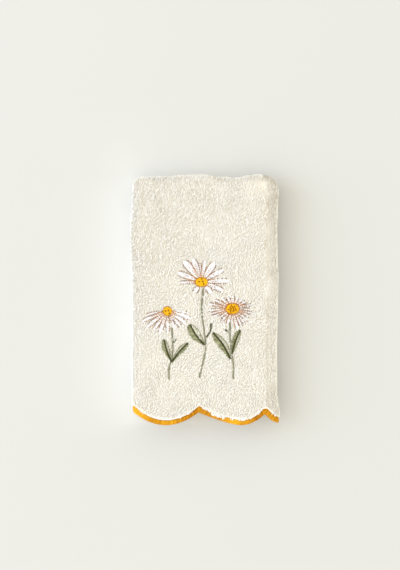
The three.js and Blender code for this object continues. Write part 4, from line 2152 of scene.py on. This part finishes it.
@dataclass
class Studio:
    """A pale floor with a painted glow beside the towel, a cool sky light from the left and warm soft fill.

    Attributes:
        aim: where the camera looks, in metres.
        frame_height: the height of the picture at the face.
        blotch: how much of the floor's colour is left in its faint blotches.
        painted_glow, pale_reach: its colour beside the towel's lit edges, painted light that also hides the
            contact shadow there, and how far this reaches.
        pale_middle, pale_least: how far along this falls away, and the share that stays.
        front_fall: how much faster it falls before the hem.
    """

    aim: tuple[float, float]
    frame_height: float = 0.6726
    camera_height: float = 2.0
    face_height: float = 0.031
    floor_size: float = 4.0
    floor_colour: Colour = (0.502, 0.502, 0.487)
    blotch: float = 0.985
    # A painted glow: light thrown back by the towel's lit edges, painted into the floor's colour.
    painted_glow: Colour = (0.77, 0.77, 0.752)
    pale_reach: float = 0.025
    pale_middle: float = 0.165
    pale_least: float = 0.32
    front_fall: float = 3.0
    sky: Lamp = Lamp("sky", 172.0, 29.0, 3.2, 110.0, (0.53, 0.69, 1.0), 4.0)
    fill_colour: Colour = (1.0, 0.965, 0.865)
    fill_strength: float = 1.55

    def build(self) -> None:
        """Lays the floor and sets the lights and the camera."""
        self.lay_floor()
        self.set_camera()
        self.sky.hang()
        world = bpy.data.worlds.new("soft fill")
        world.use_nodes = True
        background = world.node_tree.nodes["Background"]
        background.inputs["Color"].default_value = (*self.fill_colour, 1.0)
        background.inputs["Strength"].default_value = self.fill_strength
        bpy.context.scene.world = world
        bpy.context.scene.view_settings.view_transform = "Standard"

    def lay_floor(self) -> None:
        """Lays the floor."""
        shape = bmesh.new()
        bmesh.ops.create_grid(shape, x_segments=4, y_segments=4, size=self.floor_size)
        floor = as_piece("floor", shape)
        paint = Shader("pale floor", Roughness=0.95)
        tone = tuple(self.blotch * value for value in self.floor_colour)
        plain = paint.mix(self.floor_colour, tone, paint.noise(5.0))
        # The floor's colour carries a painted glow of light beside the towel's lit edges.
        paint.set("Base Color", paint.mix(plain, self.painted_glow, self.painted_glow_share(paint)))
        floor.data.materials.append(paint.material)

    def painted_glow_share(self, paint: Shader) -> Node:
        """Finds where the floor carries painted light, paler beside the towel's lit edges.

        Args:
            paint: the floor's material.

        Returns:
            A share of 1 by the middle of the towel's left edge and less along its back.
        """
        place = paint.add("ShaderNodeTexCoord", {}, out="Object")
        x, y = (paint.add("ShaderNodeSeparateXYZ", {}, Vector=place, out=axis) for axis in ("X", "Y"))
        (left, front, _), (right, back, _) = CAD_BOX
        before = (front - y).at_least(0.0) * self.front_fall
        beyond = ((left - x).at_least(0.0), (y - back).at_least(0.0), before)
        distance = sum((gap * gap for gap in beyond), 0.0).power(0.5)
        across = (x - left).at_least(0.0) * (1.0 / (right - left))
        middle = (1.0 - (y * y * y * y) * (self.pale_middle**-4)).at_least(self.pale_least)
        left_share = (1.0 - across * across * across).clamp()
        return (distance * (-1.0 / self.pale_reach)).exp() * middle * left_share

    def set_camera(self) -> None:
        """Hangs the camera straight above, with the photograph's upright frame."""
        data = bpy.data.cameras.new("camera")
        data.sensor_fit = "VERTICAL"
        data.sensor_height = 36.0
        data.lens = data.sensor_height * (self.camera_height - self.face_height) / self.frame_height
        camera = bpy.data.objects.new("camera", data)
        camera.location = (*self.aim, self.camera_height)
        bpy.context.collection.objects.link(camera)
        bpy.context.scene.camera = camera


def main() -> None:
    """Builds the towel round its frame, and the studio."""
    logging.basicConfig(level=logging.INFO, format="%(name)s: %(message)s")
    folds = TowelFolds()
    sheet_maker = TerrySheet(folds)
    across, along = sheet_maker.grid()
    lifts = (-folds.thickness / 2, folds.thickness / 2)
    skins = [folds.place(across, along, np.full(across.shape, lift)) for lift in lifts]
    folds.fit_to(*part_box("terry_cloth"), np.concatenate(skins).reshape(-1, 3))
    LOG.info("shift %s", folds.shift)

    terry = TerryFinish().make()
    sheet = finish_piece(sheet_maker.build(), terry)
    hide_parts("terry_cloth")

    cover = Cover()
    mustard = ThreadFinish("mustard satin thread", (0.36, 0.13, 0.002), (0.80, 0.42, 0.02), 0.38).make()
    edging = SatinEdging(folds)
    band = finish_piece(edging.build_core(), mustard)
    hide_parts("scalloped_edging")
    sewn = [band, finish_piece(edging.build_threads(), mustard)]
    for thread, piece in Embroidery(folds, cover).build().items():
        slot, _, finish = thread.value
        sewn.append(finish_piece(piece, finish.make()))
    pile = [finish_piece(piece, terry) for piece in TerryPile(folds, cover).build()]

    length = folds.stack.starts()[-1]
    length * MM
    sewn + pile
    picture_middle = on_face(PICTURE_MIDDLE) + folds.shift[:2]
    Studio(tuple(picture_middle * MM)).build()


if __name__ == "__main__":
    main()
